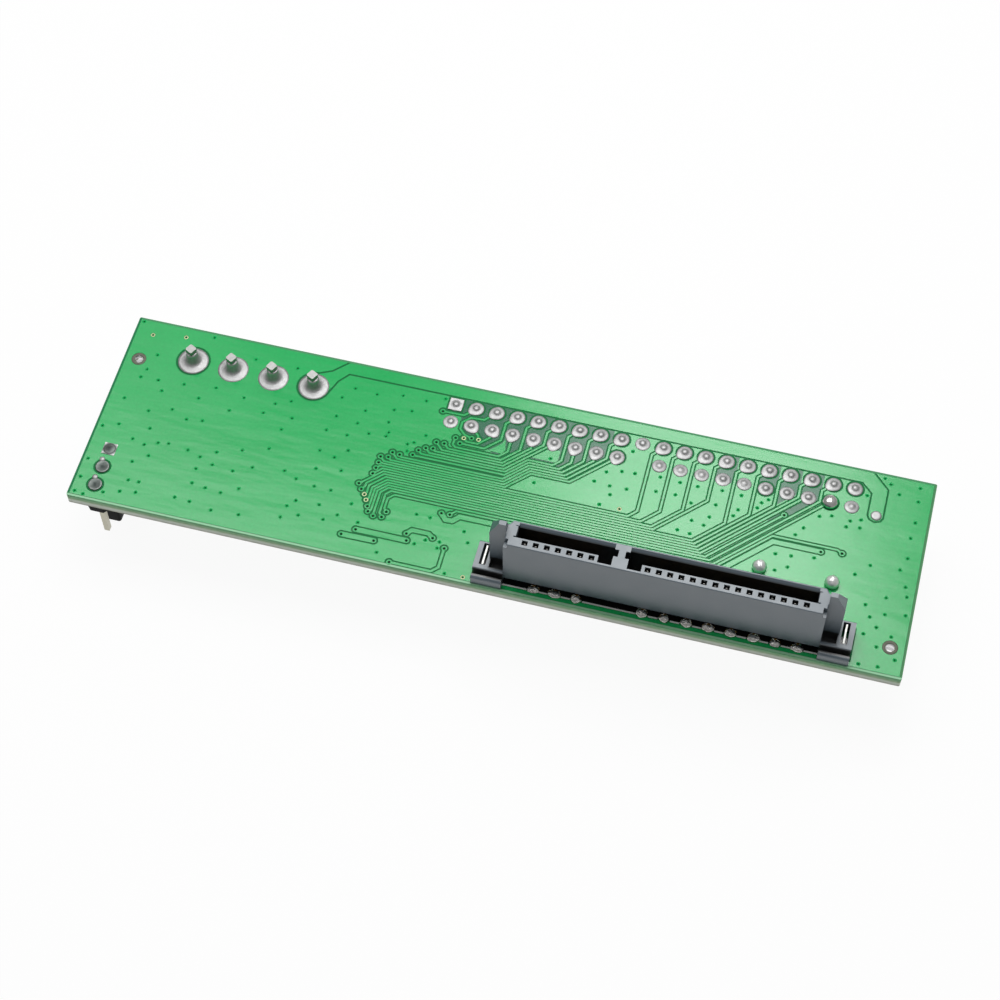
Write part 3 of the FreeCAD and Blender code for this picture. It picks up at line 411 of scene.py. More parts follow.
masked_copper = solder_mask("solder_mask_on_copper", "#04a853", "#0ab15b", (0.16, 0.22), 0.5)
# Where there is no foil the mask lets the laminate through, and looks a dark bluish green
masked_glass = solder_mask("solder_mask_on_glass", "#0e6040", "#176f4c", (0.18, 0.25), 0.36)
piece("upper_copper", etch(upper, ("pour", "pocket", "track"), board_high, copper_rise),
      masked_copper, "green_laminate")
piece("upper_bare", etch(upper, ("bare",), board_high, bare_rise), masked_glass, "green_laminate")


tail_reach, tail_taper = 0.24, 7


def turn(bm, profile, place, steps=28, lean=(0.0, 0.0), stretch=(1.0, 1.0, 1.0), tail=None):
    """Spin a profile of (radius, height) about an upright axis, and stand it at a place.

    A tail direction draws the foot out into a teardrop on that side.
    """
    older = set(bm.verts)
    line = [bm.verts.new((r, 0, z)) for r, z in profile]
    spun = line + [bm.edges.new(pair) for pair in zip(line, line[1:])]
    bmesh.ops.spin(bm, geom=spun, cent=(0, 0, 0), axis=(0, 0, 1), angle=2 * math.pi, steps=steps,
                   use_merge=True)
    bmesh.ops.remove_doubles(bm, verts=[v for v in bm.verts if v not in older], dist=1e-4)
    made = [v for v in bm.verts if v not in older]
    faces = list({f for v in made for f in v.link_faces})
    bmesh.ops.recalc_face_normals(bm, faces=faces)
    for face in faces:
        face.smooth = True
    bmesh.ops.scale(bm, vec=stretch, verts=made)
    for vert in made:
        if tail and vert.co.xy.length > 0.5:
            facing = max(vert.co.xy.normalized().dot(Vector(tail).normalized()), 0.0)
            vert.co.xy *= 1 + tail_reach * facing ** tail_taper
        vert.co.x += lean[0] * vert.co.z
        vert.co.y += lean[1] * vert.co.z
    bmesh.ops.translate(bm, vec=place, verts=made)
    return made


# Vias: the mask sinks into their mouths as a soft funnel, glossy at the lip and dark at the bottom;
# those at the tracks' ends are open, and their near-black bottom is painted shade of the hole
def sunken_mask(name, bottom):
    material, add, place = start_material(name)
    position = add("SeparateXYZ", {0: place}).outputs
    depth = add("MapRange", {0: position["Z"], 1: (board_high + 0.006) * mm,
                             2: (board_high + 0.034) * mm})
    # Darker towards the bottom: pooled mask in the tented vias, painted shade in the open ones
    deep_tone = add("Mix", {0: depth, 6: linear(bottom), 7: linear("#07ac57")}, data_type="RGBA")
    gloss = add("MapRange", {0: depth, 3: 0.6, 4: 0.22})
    return close_material(material, add("BsdfPrincipled", {
        "Base Color": deep_tone, "Roughness": gloss, "IOR": 1.52, "Specular IOR Level": 0.08}))


def turned(name, profile, places, material, slot_name, *replaced, steps=28, z=board_high):
    """A piece of like turned shapes, one at each place on a face of the board."""
    bm = bmesh.new()
    for x, y in places:
        turn(bm, profile, (x, y, z), steps)
    piece(name, bm, material, slot_name, *replaced)


funnel = ((0, 0.002), (0.085, 0.006), (0.14, 0.026), (0.18, 0.038), (via_funnel, copper_rise),
          (via_funnel, 0), (0, 0))
mouth = ((0, 0.003), (0.12, 0.006), (0.17, 0.02), (0.21, copper_rise), (0.21, 0), (0, 0))
bm = bmesh.new()
for x, y in pour_vias:
    turn(bm, [(r * random.uniform(0.85, 1.0) if r < 0.2 else r, z) for r, z in funnel],
         (x, y, board_high), via_sides)
piece("via_funnels", bm, sunken_mask("mask_pooled_in_vias", "#024a20"), "green_laminate")
bm = bmesh.new()
for x, y in sorted({*drilled_vias, *bare_vias}):
    size = 0.7 if (x, y) in bare_vias else 1.0
    turn(bm, [(r * size, z) for r, z in mouth], (x, y, board_high), via_sides)
# Painted shade: the open vias' bottom is coloured near black for the shade in the hole
piece("via_mouths", bm, sunken_mask("painted_shade_in_open_vias", "#0a2a1c"), "green_laminate")


# Rings of the vias that the mask leaves bare: gilt over nickel, so thin that it looks pale straw
def mottled(name, dark, light, patch, detail, finish):
    """A plain finish whose tone wanders between two colours over patches of a size in mm."""
    material, add, place = start_material(name)
    cloud = add("TexNoise", {"Vector": place, "Scale": 1 / (patch * mm), "Detail": detail})
    tone = add("Mix", {0: cloud, 6: linear(dark), 7: linear(light)}, data_type="RGBA")
    return close_material(material, add("BsdfPrincipled", {"Base Color": tone, **finish}))


pale_gilt = mottled("flash_gilt_on_nickel", "#bfbf92", "#d9d8b4", 0.2, 2.0,
                    {"Metallic": 0.6, "Roughness": 0.5})
ring = ((0.14, 0.0), (0.16, 0.05), (0.25, 0.05), (0.3, 0.0), (0.14, 0.0))
turned("bare_via_rings", ring, bare_vias, pale_gilt, "gilt_contact", steps=16)


# Painted shadow under the socket
# A flat black sheet between the board and the drive socket, which stands clear of the board there:
# painted shadow, put where there is only the shade of that gap. Its black wanders a little in tone.
socket_x = 21.35
shadow_length, shadow_depth, shadow_rise, shadow_y = 36.8, 3.75, 0.06, -10.32


def block(bm, size, middle, soft=0.0):
    """A box at its place, with edges rounded by a radius if one is given."""
    made = bmesh.ops.create_cube(bm, size=1.0)["verts"]
    bmesh.ops.scale(bm, vec=size, verts=made)
    bmesh.ops.translate(bm, vec=middle, verts=made)
    if soft:
        bmesh.ops.bevel(bm, geom=list({e for v in made for e in v.link_edges}), offset=soft,
                        segments=2, profile=0.5, affect="EDGES", material=-1)


shadow_sheet = mottled("painted_shadow_sheet", "#030404", "#0b0d0c", 0.4, 3.0,
               {"Roughness": 0.8, "Specular IOR Level": 0.1})
bm = bmesh.new()
block(bm, (shadow_length, shadow_depth, shadow_rise), (socket_x, shadow_y, board_high + shadow_rise / 2))
piece("socket_shadow_sheet", bm, shadow_sheet, "black_moulding")


# Printed line
# White epoxy ink, screened on the mask as a row of dashes in front of the drive socket, and left
# out where the contact tails are soldered. It looks chalky and a little worn.
socket_pitch, signal_x, supply_x = 1.27, 5.475, 19.445
front_tails = [signal_x + socket_pitch * i for i in (1, 3, 5)]
front_tails += [supply_x + socket_pitch * i for i in range(0, 15, 2)]
line_start, line_end, line_y, line_width, tail_clear = 3.1, 39.6, -12.3, 0.2, 0.72
ink = mottled("screened_white_ink", "#e2e6e0", "#fafaf7", 0.25, 3.0, {"Roughness": 0.6, "IOR": 1.5})
bm = bmesh.new()
edges = [line_start, *(x + side * tail_clear for x in front_tails for side in (-1, 1)), line_end]
for x0, x1 in zip(edges[::2], edges[1::2]):
    block(bm, (x1 - x0, line_width, 0.05), ((x0 + x1) / 2, line_y, board_high))
piece("printed_line", bm, ink, "green_laminate")


# Solder joints of the ribbon header
# Tin-lead solder that wicked up each square pin from below: a low wide collar on the pad, a lobe
# along the teardrop of the back row, and a rounded tip over the pin's end.
# Solder looks silver white, mirror-bright where it froze smooth and frosted where it froze slowly.
def bright_metal(name, dark, light, roughness, patch, relief=0.03, metal=1.0):
    """A plated or soldered finish: tone, gloss and relief wander over patches of a size in mm."""
    material, add, place = start_material(name)
    cloud = add("TexNoise", {"Vector": place, "Scale": 1 / (patch * mm), "Detail": 3.0})
    tone = add("Mix", {0: cloud, 6: linear(dark), 7: linear(light)}, data_type="RGBA")
    gloss = add("MapRange", {0: cloud, 1: 0.3, 2: 0.7, 3: roughness[0], 4: roughness[1]})
    bump = add("Bump", {"Height": cloud, "Distance": relief * patch * mm})
    return close_material(material, add("BsdfPrincipled", {
        "Base Color": tone, "Metallic": metal, "Roughness": gloss, "Normal": bump}))


solder = bright_metal("frosted_tin_lead_solder", "#9d9d9d", "#cacaca", (0.48, 0.62), 0.4, 0.08)
smooth_solder = bright_metal("smooth_tin_lead_solder", "#cfcdc9", "#ebe9e6", (0.06, 0.16), 0.4,
                             0.05)
collar = ((0, 0), (ide_pad, 0), (0.915, 0.06), (0.84, 0.1), (0.7, 0.13), (0.55, 0.155),
          (0.44, 0.19), (0.37, 0.235), (0.31, 0.295), (0.24, 0.345), (0.14, 0.375), (0, 0.385))
low = ((0, 0), (0.9, 0), (0.88, 0.07), (0.76, 0.12), (0.56, 0.15), (0.4, 0.2), (0.28, 0.27),
       (0.13, 0.31), (0, 0.32))
drop = ((0, 0), (0.93, 0), (0.96, 0.16), (0.88, 0.42), (0.66, 0.66), (0.34, 0.8), (0, 0.84))
key_column, drop_column = 9, 18
bm = bmesh.new()
for column in range(20):
    for row, y in enumerate((row_a, row_b)):
        if row == 1 and column in (key_column, drop_column):
            continue
        lean = (random.uniform(-0.12, 0.12), random.uniform(-0.12, 0.12))
        high = random.uniform(0.99, 1.12)
        profile = low if row == 1 and column in (10, 11, 12, 14, 19) else collar
        tail = None
        if row == 0 and column not in (0, 9, 19):
            tail = (-1, -1)
        elif row == 1 and column in (1, 2):
            tail = (1, -1)
        elif row == 1 and column in range(3, 9):
            tail = (-0.15, -1)
        turn(bm, [(r, z * high) for r, z in profile], (pad_x(column), y, board_high), lean=lean,
             tail=tail)
square_pad, square_rise = 1.7, 0.14
block(bm, (square_pad, square_pad, square_rise), (ide_x, row_a, board_high + square_rise / 2), 0.06)
piece("ide_joints", bm, solder, "solder", "ide_solder_joints")
turned("ide_joint_drop", drop, [(pad_x(drop_column), row_b)], smooth_solder, "solder")


# Tooling holes
# Two plain holes for the drilling fixture, with bright tinned walls. The mask stays clear of their
# rims, where the bare laminate looks olive grey.
tinned_wall = bright_metal("tin_plated_wall", "#cfcfcf", "#ececec", (0.08, 0.16), 0.6, 0.0)
bare_glass = mottled("bare_glass_epoxy", "#4f5347", "#6f715f", 0.3, 2.0,
                     {"Roughness": 0.6, "IOR": 1.52})
through = board_low - board_high
lining = ((0.6, through), (0.58, through), (0.58, 0.0), (0.6, 0.012), (0.6, through))
bare_rim = ((0.52, 0.0), (0.54, 0.03), (0.66, 0.045), (0.86, 0.045), (tooling_clear, 0.0),
            (0.52, 0.0))
turned("tooling_hole_plating", lining, tooling_holes, tinned_wall, "solder", steps=32)
turned("tooling_hole_rims", bare_rim, tooling_holes, bare_glass, "green_laminate", steps=32)


# Solder joints of the power header
# Wide concave cones of the same solder, drawn up round the square tails of the four heavy pins
# as they left the bath.
cone = ((0, 0), (1.875, 0), (1.86, 0.06), (1.6, 0.08), (1.3, 0.13), (1.1, 0.19), (0.95, 0.265),
        (0.85, 0.355), (0.78, 0.47), (0.74, 0.63), (0.72, 1.0), (0.705, 1.5), (0.69, 1.86),
        (0.6, 1.93), (0, 1.93))
bm = bmesh.new()
for x in power_x:
    turn(bm, cone, (x, power_row, board_high), 48,
         (random.uniform(-0.02, 0.02), random.uniform(-0.02, 0.02)))
piece("power_joints", bm, solder, "solder", "power_solder_joints")


# Solder joints of the selector, of the bead's wire and of the test hole
# Dull, slightly sunk solder on the selector's pads, one of them square, with a bright run-out at
# the back of each round one; round balls on the wire's ends; a ring round the filled test hole.
selector_pitch = 2.54
bead_ends = ((31.15, -3.05), (39.55, -3.05))
# Painted reflection: the solder is painted dark round each pin, and brightens to a painted
# highlight towards the pad's rim and corners
reflection_solder, add, place = start_material("solder_painted_reflection")
centred = add("VectorMath", {0: place, 1: (selector_x * mm, selector_y[1] * mm, 0.0)},
              operation="SUBTRACT")
cell = selector_pitch / 2 * mm
from_pin = add("VectorMath", {0: centred, 1: (1.0, cell, 1.0), 2: (-1.0, -cell, -1.0)},
               operation="WRAP")
level_place = add("VectorMath", {0: from_pin, 1: (1.0, 1.0, 0.0)}, operation="MULTIPLY")
away = add("VectorMath", {0: level_place}, operation="LENGTH")
blotch = add("TexNoise", {"Vector": place, "Scale": 1 / (0.35 * mm), "Detail": 3.0})
ragged = add("Math", {0: blotch, 1: 0.5 * mm, 2: away}, operation="MULTIPLY_ADD")
zone = add("MapRange", {0: ragged, 1: 0.25 * mm, 2: 1.35 * mm})
painted_tone = add("ValToRGB", {0: zone})
for stop, code in ((0.1, "#3b413f"), (0.35, "#595f5c"), (0.6, "#6c726f"), (0.78, "#8f9391"),
                   (0.95, "#d4d4d4")):
    painted_tone.color_ramp.elements.new(stop).color = linear(code)
painted_tone.color_ramp.elements.remove(painted_tone.color_ramp.elements[0])
painted_tone.color_ramp.elements.remove(painted_tone.color_ramp.elements[-1])
uneven = add("Bump", {"Height": blotch, "Distance": 0.03 * mm})
close_material(reflection_solder, add("BsdfPrincipled", {
    "Base Color": painted_tone, "Metallic": 1.0, "Roughness": 0.48, "Normal": uneven}))
dish = ((0, 0.1), (0.3, 0.105), (0.5, 0.125), (0.66, 0.155), (0.76, 0.165), (0.83, 0.12),
        (0.87, 0), (0, 0))
mound = ((0, 0), (0.74, 0), (0.74, 0.12), (0.6, 0.14), (0.45, 0.17), (0.3, 0.2), (0.15, 0.22),
         (0, 0.225))
run_out = ((0, 0), (0.36, 0), (0.33, 0.1), (0.22, 0.17), (0, 0.2))
bm = bmesh.new()
for y in selector_y[1:]:
    turn(bm, dish, (selector_x, y, board_high), 32)
turn(bm, mound, (selector_x, selector_y[0], board_high))
first_pad, first_rise = 1.62, 0.12
block(bm, (first_pad, first_pad, first_rise),
      (selector_x, selector_y[0], board_high + first_rise / 2), 0.05)
piece("jumper_joints", bm, reflection_solder, "solder", "jumper_solder_joints")
turned("jumper_run_outs", run_out, [(selector_x - 0.36, y + 0.98) for y in selector_y[1:]],
       solder, "solder", steps=20)

# The balls froze slowly and oxidised: a pale, half-metallic grey with a rough skin
oxide_grey = bright_metal("oxidised_tin_lead_solder", "#dadad9", "#f6f6f5", (0.14, 0.26), 0.5, 0.2,
                          0.62)
ball = [(0, 0), (0.66, 0)] + [(0.84 * math.cos(t), 0.47 + 0.8 * math.sin(t))
                              for t in [math.radians(a) for a in range(-30, 90, 12)]] + [(0, 1.27)]


def crumple(verts, depth):
    """Move the points above the board by up to a depth, as in solder that froze on the move."""
    for vert in verts:
        if vert.co.z > board_high + 0.05:
            vert.co += Vector([random.uniform(-depth, depth) for _ in range(3)])


bm = bmesh.new()
for x, y in bead_ends:
    crumple(turn(bm, ball, (x, y, board_high), 20), 0.035)
piece("bead_joints", bm, oxide_grey, "solder", "bead_solder_joints")
test_fill = ((0, 0.2), (0.2, 0.2), (0.4, 0.215), (0.53, 0.19), (0.63, 0.12), (0.675, 0), (0, 0))
test_hole = (42.96, 7.16)
turned("test_pad", test_fill, [test_hole], solder, "solder", "test_pad_solder")


# Solder at the drive socket's tails
# A small irregular heap of solder over the toe of each contact's tail, touched up by hand. Its
# crumpled skin breaks the light up, and its tone is painted in dark and bright specks as painted
# glints.
solder_painted_glints = bright_metal("tin_lead_solder_painted_glints", "#6b6966", "#fdfbf6", (0.06, 0.16), 0.25,
                               0.2)
heap = ((0, 0), (0.56, 0), (0.65, 0.11), (0.66, 0.26), (0.57, 0.44), (0.39, 0.57), (0.17, 0.63),
        (0, 0.64))
front_row, back_row = -12.15, -7.95
back_tails = [signal_x + socket_pitch * i for i in (0, 2, 4, 6)]
back_tails += [supply_x + socket_pitch * i for i in range(1, 15, 2)]
bm = bmesh.new()
for tails, y in ((front_tails, front_row), (back_tails, back_row)):
    for x in tails:
        made = turn(bm, heap, (x, y, board_high), steps=14,
                    lean=(random.uniform(-0.5, 0.5), random.uniform(-0.1, 0.3)),
                    stretch=(random.uniform(0.95, 1.3), 0.85, random.uniform(0.5, 0.85)))
        crumple(made, 0.07)
piece("tail_joints", bm, solder_painted_glints, "solder", "socket_tail_solder")


# Drive socket
# Moulded in one piece from grey glass-filled plastic: upright body with two keyed slots, a guide
# post and a foot at each end. Its faces come from a spark-eroded tool, which leaves a satin grain.
def moulding(name, dark, light, roughness, texture, relief, shine=0.5, shaded_recesses=()):
    """A moulded plastic with a tool texture of a size and depth in mm, coarser than real, to show.

    Recesses are boxes, mirrored about the socket's middle, within which painted shade makes it
    almost black.
    """
    material, add, place = start_material(name)
    cloud = add("TexNoise", {"Vector": place, "Scale": 1 / (3 * mm), "Detail": 4.0})
    fine = add("TexNoise", {"Vector": place, "Scale": 1 / (texture * mm), "Detail": 2.0})
    mixed = add("Math", {0: cloud, 1: fine, 2: 0.2}, operation="MULTIPLY_ADD")
    tone = add("Mix", {0: mixed, 6: linear(dark), 7: linear(light)}, data_type="RGBA")
    for lowest, highest in shaded_recesses:
        position = add("SeparateXYZ", {0: place}).outputs
        from_middle = add("Math", {0: position["X"], 1: socket_x * mm}, operation="SUBTRACT")
        either_end = add("Math", {0: from_middle}, operation="ABSOLUTE")
        mirrored = add("CombineXYZ", {0: either_end, 1: position["Y"], 2: position["Z"]})
        middle = [(a + b) / 2 * mm for a, b in zip(lowest, highest)]
        reach = [(b - a) / 2 * mm for a, b in zip(lowest, highest)]
        shifted = add("VectorMath", {0: mirrored, 1: middle}, operation="SUBTRACT")
        folded = add("VectorMath", {0: shifted}, operation="ABSOLUTE")
        beyond = add("VectorMath", {0: folded, 1: reach}, operation="SUBTRACT")
        sides = add("SeparateXYZ", {0: beyond}).outputs
        widest = add("Math", {0: sides["X"], 1: sides["Y"]}, operation="MAXIMUM")
        widest = add("Math", {0: widest, 1: sides["Z"]}, operation="MAXIMUM")
        # Painted shade: the tone goes almost black within each box
        in_painted_shade = add("MapRange", {0: widest, 1: 0.0, 2: -shade_fade * mm})
        tone = add("Mix", {0: in_painted_shade, 6: tone, 7: linear("#070a0c")}, data_type="RGBA")
    gloss = add("MapRange", {0: cloud, 1: 0.3, 2: 0.7, 3: roughness[0], 4: roughness[1]})
    bump = add("Bump", {"Height": fine, "Distance": relief * mm})
    return close_material(material, add("BsdfPrincipled", {
        "Base Color": tone, "Roughness": gloss, "IOR": 1.55, "Specular IOR Level": shine,
        "Normal": bump}))


# The slots with their cavities, the pockets before the posts and the grooves of the feet are
# painted almost black within, as painted shade
shade_fade = 0.2
slots = ((-17.8, -11.55, 11.2), (17.8, -8.66, 18.42))
post_pockets = ((18.2, -11.8, 11.1), (20.1, -10.25, 12.85))
foot_grooves = ((18.0, -12.75, 10.7), (21.95, -11.85, 12.4))
grey_plastic = moulding("grey_moulded_polyester", "#515f69", "#5f6d77", (0.36, 0.44), 0.12, 0.003,
                        1.0, (slots, post_pockets, foot_grooves))
dress(grey_plastic, "grey_moulding", "drive_socket_housing")

# The contacts are gilt bronze with a soft yellow gleam; their tips and the lock strips are tinned,
# and look a dull grey
gilt = bright_metal("gilt_bronze", "#8a6f3c", "#b4955a", (0.22, 0.34), 0.4)
tinned_sheet = bright_metal("tinned_sheet", "#8a8a88", "#b4b4b1", (0.3, 0.42), 0.3)
dress(gilt, "gilt_contact", "socket_signal_contacts", "socket_power_contacts")
tip_size, tip_y, tip_z, tip_round = (0.24, 0.14, 0.3), -11.0, 18.05, 0.05
bm = bmesh.new()
for x in sorted(front_tails + back_tails):
    block(bm, tip_size, (x, tip_y, tip_z), tip_round)
piece("contact_tips", bm, tinned_sheet, "gilt_contact")
dress(tinned_sheet, "tinned_steel", "socket_board_lock_left", "socket_board_lock_right")
dress(solder, "solder", "board_lock_solder")


# Ribbon header
# Black glass-filled polyester box with a key gap in its back wall, pressed on two rows of square
# pins. The moulding looks matt black, the tinned pins a soft grey.
black_moulding = moulding("black_moulded_polyester", "#050607", "#0e0f10", (0.5, 0.65), 0.15, 0.005,
                          0.08)
tinned_brass = bright_metal("tinned_brass_wire", "#8d8d8b", "#b0b0ae", (0.36, 0.48), 0.4)
dress(black_moulding, "black_moulding", "ide_shroud")
dress(tinned_brass, "tinned_brass", "ide_pins")


# Power header
# Moulded nylon housing, left in its milky natural colour and half glossy, with four heavy turned
# pins of the same tinned brass.
nylon = moulding("natural_nylon", "#d8d2bf", "#e8e3d3", (0.38, 0.5), 0.4, 0.004)
dress(nylon, "natural_nylon", "power_header_housing")
dress(tinned_brass, "tinned_brass", *("power_pin_%d" % number for number in range(1, 5)))


# Selector
# Three square pins in a black base, with a black cap and its spring clip over two of them. The tin
# on the pins has aged to a warm grey.
warm_tin = bright_metal("aged_tin_on_brass", "#a3a08f", "#c6c3b2", (0.3, 0.42), 0.4)
dress(black_moulding, "black_moulding", "jumper_header_base", "jumper_cap")
dress(warm_tin, "gilt_contact", *("jumper_pin_%d" % number for number in range(1, 4)))
dress(tinned_sheet, "tinned_steel", "jumper_cap_clip")


# Copper of the lower face
# Foil etched into a ground pour, the parts' pads and the tracks between them, under the same mask.
# The headers stand flat on the board, so there is none beneath them.
chip_x, lane_y = -9.01, -4.265
crystal_x, regulator_x, tantalum_x = -21.11, -30.86, -38.26
tantalum_rows = (lane_y - 2.6, lane_y + 2.6)
array_row, resistor_row, coupling_row = 2.87, -11.2, -6.1
chip_pitch, chip_height, lead_reach, array_pitch = 0.5, 1.5, 5.8, 0.8
arrays = [2.59 + 4.2 * i for i in range(7)]
resistors = [tantalum_x + 1.6 * (i - 2.5) for i in range(6)]
capacitors = [(chip_x + side, lane_y + 2.6 * (i - 1.5)) for side in (-7.3, 7.3) for i in range(4)]
capacitors += [(signal_x + 2 * socket_pitch * i, coupling_row) for i in range(4)]
lamp_x, lamp_y = 46.5, -3.2
land_gap, lower_land = 0.18, 0.32
lower = upper[:1]
lower_vias, lands = [], []


def lower_track(route, width=0.25, via=True):
    """A track of the lower face with its gap, and the via at its end if it has one."""
    lower.append(("gap", ribbon(route, width + 2 * land_gap, land_gap)))
    lower.append(("track", ribbon(route, width)))
    if via:
        x, y = route[-1]
        lower.append(("gap", disc(x, y, lower_land + land_gap, 12)))
        lower.append(("track", disc(x, y, lower_land, 12)))
        lower.append(("drill", disc(x, y, open_via, 10)))
        lower_vias.append((x, y))


def land(x, y, length, depth):
    """A tinned pad, and the gap round it."""
    lower.append(("gap", plate(x - length / 2 - land_gap, x + length / 2 + land_gap,
                               y - depth / 2 - land_gap, y + depth / 2 + land_gap)))
    lands.append((x, y, length, depth))


# The chip's four rows of pads, those of the clear lanes led out to staggered vias
for side in range(4):
    out = Vector((round(math.cos(side * math.pi / 2)), round(math.sin(side * math.pi / 2))))
    across = Vector((-out.y, out.x))
    for i in range(16):
        start = Vector((chip_x, lane_y)) + across * chip_pitch * (i - 7.5)
        middle = start + out * lead_reach
        land(middle.x, middle.y, *((1.1, 0.28) if out.x else (0.28, 1.1)))
        if out.y:
            lower_track([start + out * 6.3, start + out * (6.9 + 0.55 * (i % 3))], 0.2)

# Signal pairs to the coupling capacitors, on to the socket's tails, and the clock's two tracks
for route in ([(-2.66, -4.015), (11.9, -4.015), (13.095, -5.2)],
              [(-2.66, -4.515), (9.85, -4.515), (10.555, -5.22)],
              [(-2.66, -6.515), (-1.0, -6.515), (0.5, -5.015), (7.68, -5.015), (8.015, -5.35)],
              [(-2.66, -7.015), (-0.79, -7.015), (0.71, -5.515), (5.2, -5.515), (5.475, -5.7)],
              [(-15.36, -4.015), (-17.6, -4.015), (-18.5, -3.115)],
              [(-15.36, -4.515), (-17.6, -4.515), (-18.5, -5.415)]):
    lower_track(route, via=False)
for x, y in capacitors:
    for sign in (-1, 1):
        land(x, y + 0.75 * sign, 0.9, 0.8)
for x, y in capacitors[8:]:
    lower_track([(x, y - 1.1), (x, y - 1.7)])

# The arrays' pads: led back under the ribbon header, and forwards to staggered vias
for x in arrays:
    for i in range(4):
        pad = x + array_pitch * (i - 1.5)
        for sign in (-1, 1):
            land(pad, array_row + 0.9 * sign, 0.46, 0.75)
        lower_track([(pad, 4.1), (pad, 4.75)], 0.22, False)
        lower_track([(pad, 1.65), (pad, 0.95 - 0.65 * (i % 2))], 0.22)

# Pads of the supply parts, the selector's resistors and the lamp, with wide supply tracks
for x in (-1.85, 1.85):
    for y in (-1.1, 1.1):
        land(crystal_x + x, lane_y + y, 1.4, 1.1)
land(regulator_x, lane_y + 3.1, 3.4, 1.5)
for x in (-2.3, 0.0, 2.3):
    land(regulator_x + x, lane_y - 3.1, 1.0, 1.5)
for y in tantalum_rows:
    for x in (-1.6, 1.6):
        land(tantalum_x + x, y, 1.5, 2.5)
for x in resistors:
    for y in (-0.75, 0.75):
        land(x, resistor_row + y, 0.9, 0.8)
    lower_track([(x, resistor_row + 1.1), (x, resistor_row + 2.0)])
for x in (-1.0, 1.0):
    land(lamp_x + x, lamp_y, 0.8, 1.3)
lower_track([(regulator_x, lane_y + 3.9), (regulator_x, 4.3)], 2.2, False)
lower_track([(tantalum_x + 2.4, tantalum_rows[1]), (regulator_x - 2.0, tantalum_rows[1])], 1.4,
            False)
lower_track([(regulator_x + 2.3, lane_y - 3.9), (regulator_x + 2.3, -9.4), (-17.5, -9.4)], 1.0)
lower_track([(lamp_x - 1.45, lamp_y), (44.2, lamp_y), (42.6, -1.6)])
headers = ((-13.21, 44.95, 4.67, 13.17), (-44.87, -21.47, 4.02, 13.02),
           (-47.61, -45.11, -12.35, -4.72))
for header in headers:
    lower.append(("drill", plate(*header)))

# Vias of the pour come out where no part, pad or track is in their way
taken = [*headers, (chip_x - 8.6, chip_x + 8.6, -12.9, 4.67), (-1.0, 30.5, -0.3, 4.67),
         (-3.0, 14.3, -8.5, -3.4), (tantalum_x - 4.8, regulator_x + 4.2, -12.6, 4.1),
         (-28.8, -15.0, -10.2, -2.0), (29.6, 41.0, -4.6, -1.5), (42.0, 48.2, -4.4, -1.0)]
through_vias = [(x, y) for x, y in pour_vias
                if not any(a - 0.6 < x < b + 0.6 and c - 0.6 < y < d + 0.6 for a, b, c, d in taken)]
for x, y in through_vias:
    lower.append(("drill", disc(x, y, via_funnel, via_sides)))
for x, y in bead_ends:
    lower.append(("gap", disc(x, y, 1.15, 24)))
for x, y in tooling_holes:
    lower.append(("drill", disc(x, y, tooling_clear, 32)))
piece("lower_copper", etch(lower, ("pour", "track"), board_low, -copper_rise), masked_copper,
      "green_laminate")
bm = bmesh.new()
for places, size in ((through_vias, 1.0), (lower_vias, 0.8)):
    for x, y in places:
        turn(bm, [(r * size, -z) for r, z in funnel], (x, y, board_low), via_sides)
piece("lower_via_funnels", bm, sunken_mask("mask_pooled_below", "#024a20"), "green_laminate")
wire_ring = ((0.3, -0.5), (0.34, -0.36), (0.45, -0.2), (0.62, -0.1), (0.85, -0.04), (0.9, 0.0),
             (0.3, 0.0), (0.3, -0.5))
land_rise = 0.06
bm = bmesh.new()
for x, y, length, depth in lands:
    block(bm, (length, depth, land_rise), (x, y, board_low - land_rise / 2))
for x, y in bead_ends:
    turn(bm, wire_ring, (x, y, board_low))
piece("lower_lands", bm, solder, "solder")


# Printed outlines
# The same white ink, screened on the lower face round the parts, with a dot at the chip's first
# lead and a bar at the positive end of each yellow capacitor.
outlines = []


def outline(x, y, half_x, half_y, line=0.15):
    outlines.append(("track", plate(x - half_x, x + half_x, y - half_y, y + half_y)))
    outlines.append(("drill", plate(x - half_x + line, x + half_x - line,
                                    y - half_y + line, y + half_y - line)))


for y in tantalum_rows:
    outline(tantalum_x, y, 2.75, 1.75)
outline(crystal_x, lane_y, 3.1, 2.15)
outline(regulator_x, lane_y, 3.8, 4.35)
outline(lamp_x, lamp_y, 1.85, 1.0)
for x in arrays:
    outline(x, array_row, 1.85, 1.6)
for x, y in capacitors[8:]:
    outline(x, y, 0.75, 1.4)
for x in resistors:
    outline(x, resistor_row, 0.72, 1.4)
outlines.append(("track", disc(chip_x - 6.6, lane_y + 6.6, 0.4, 20)))
for y in tantalum_rows:
    outlines.append(("track", plate(tantalum_x - 3.15, tantalum_x - 2.9, y - 1.75, y + 1.75)))
piece("printed_outlines", etch(outlines, ("track",), board_low, -0.06), ink, "green_laminate")


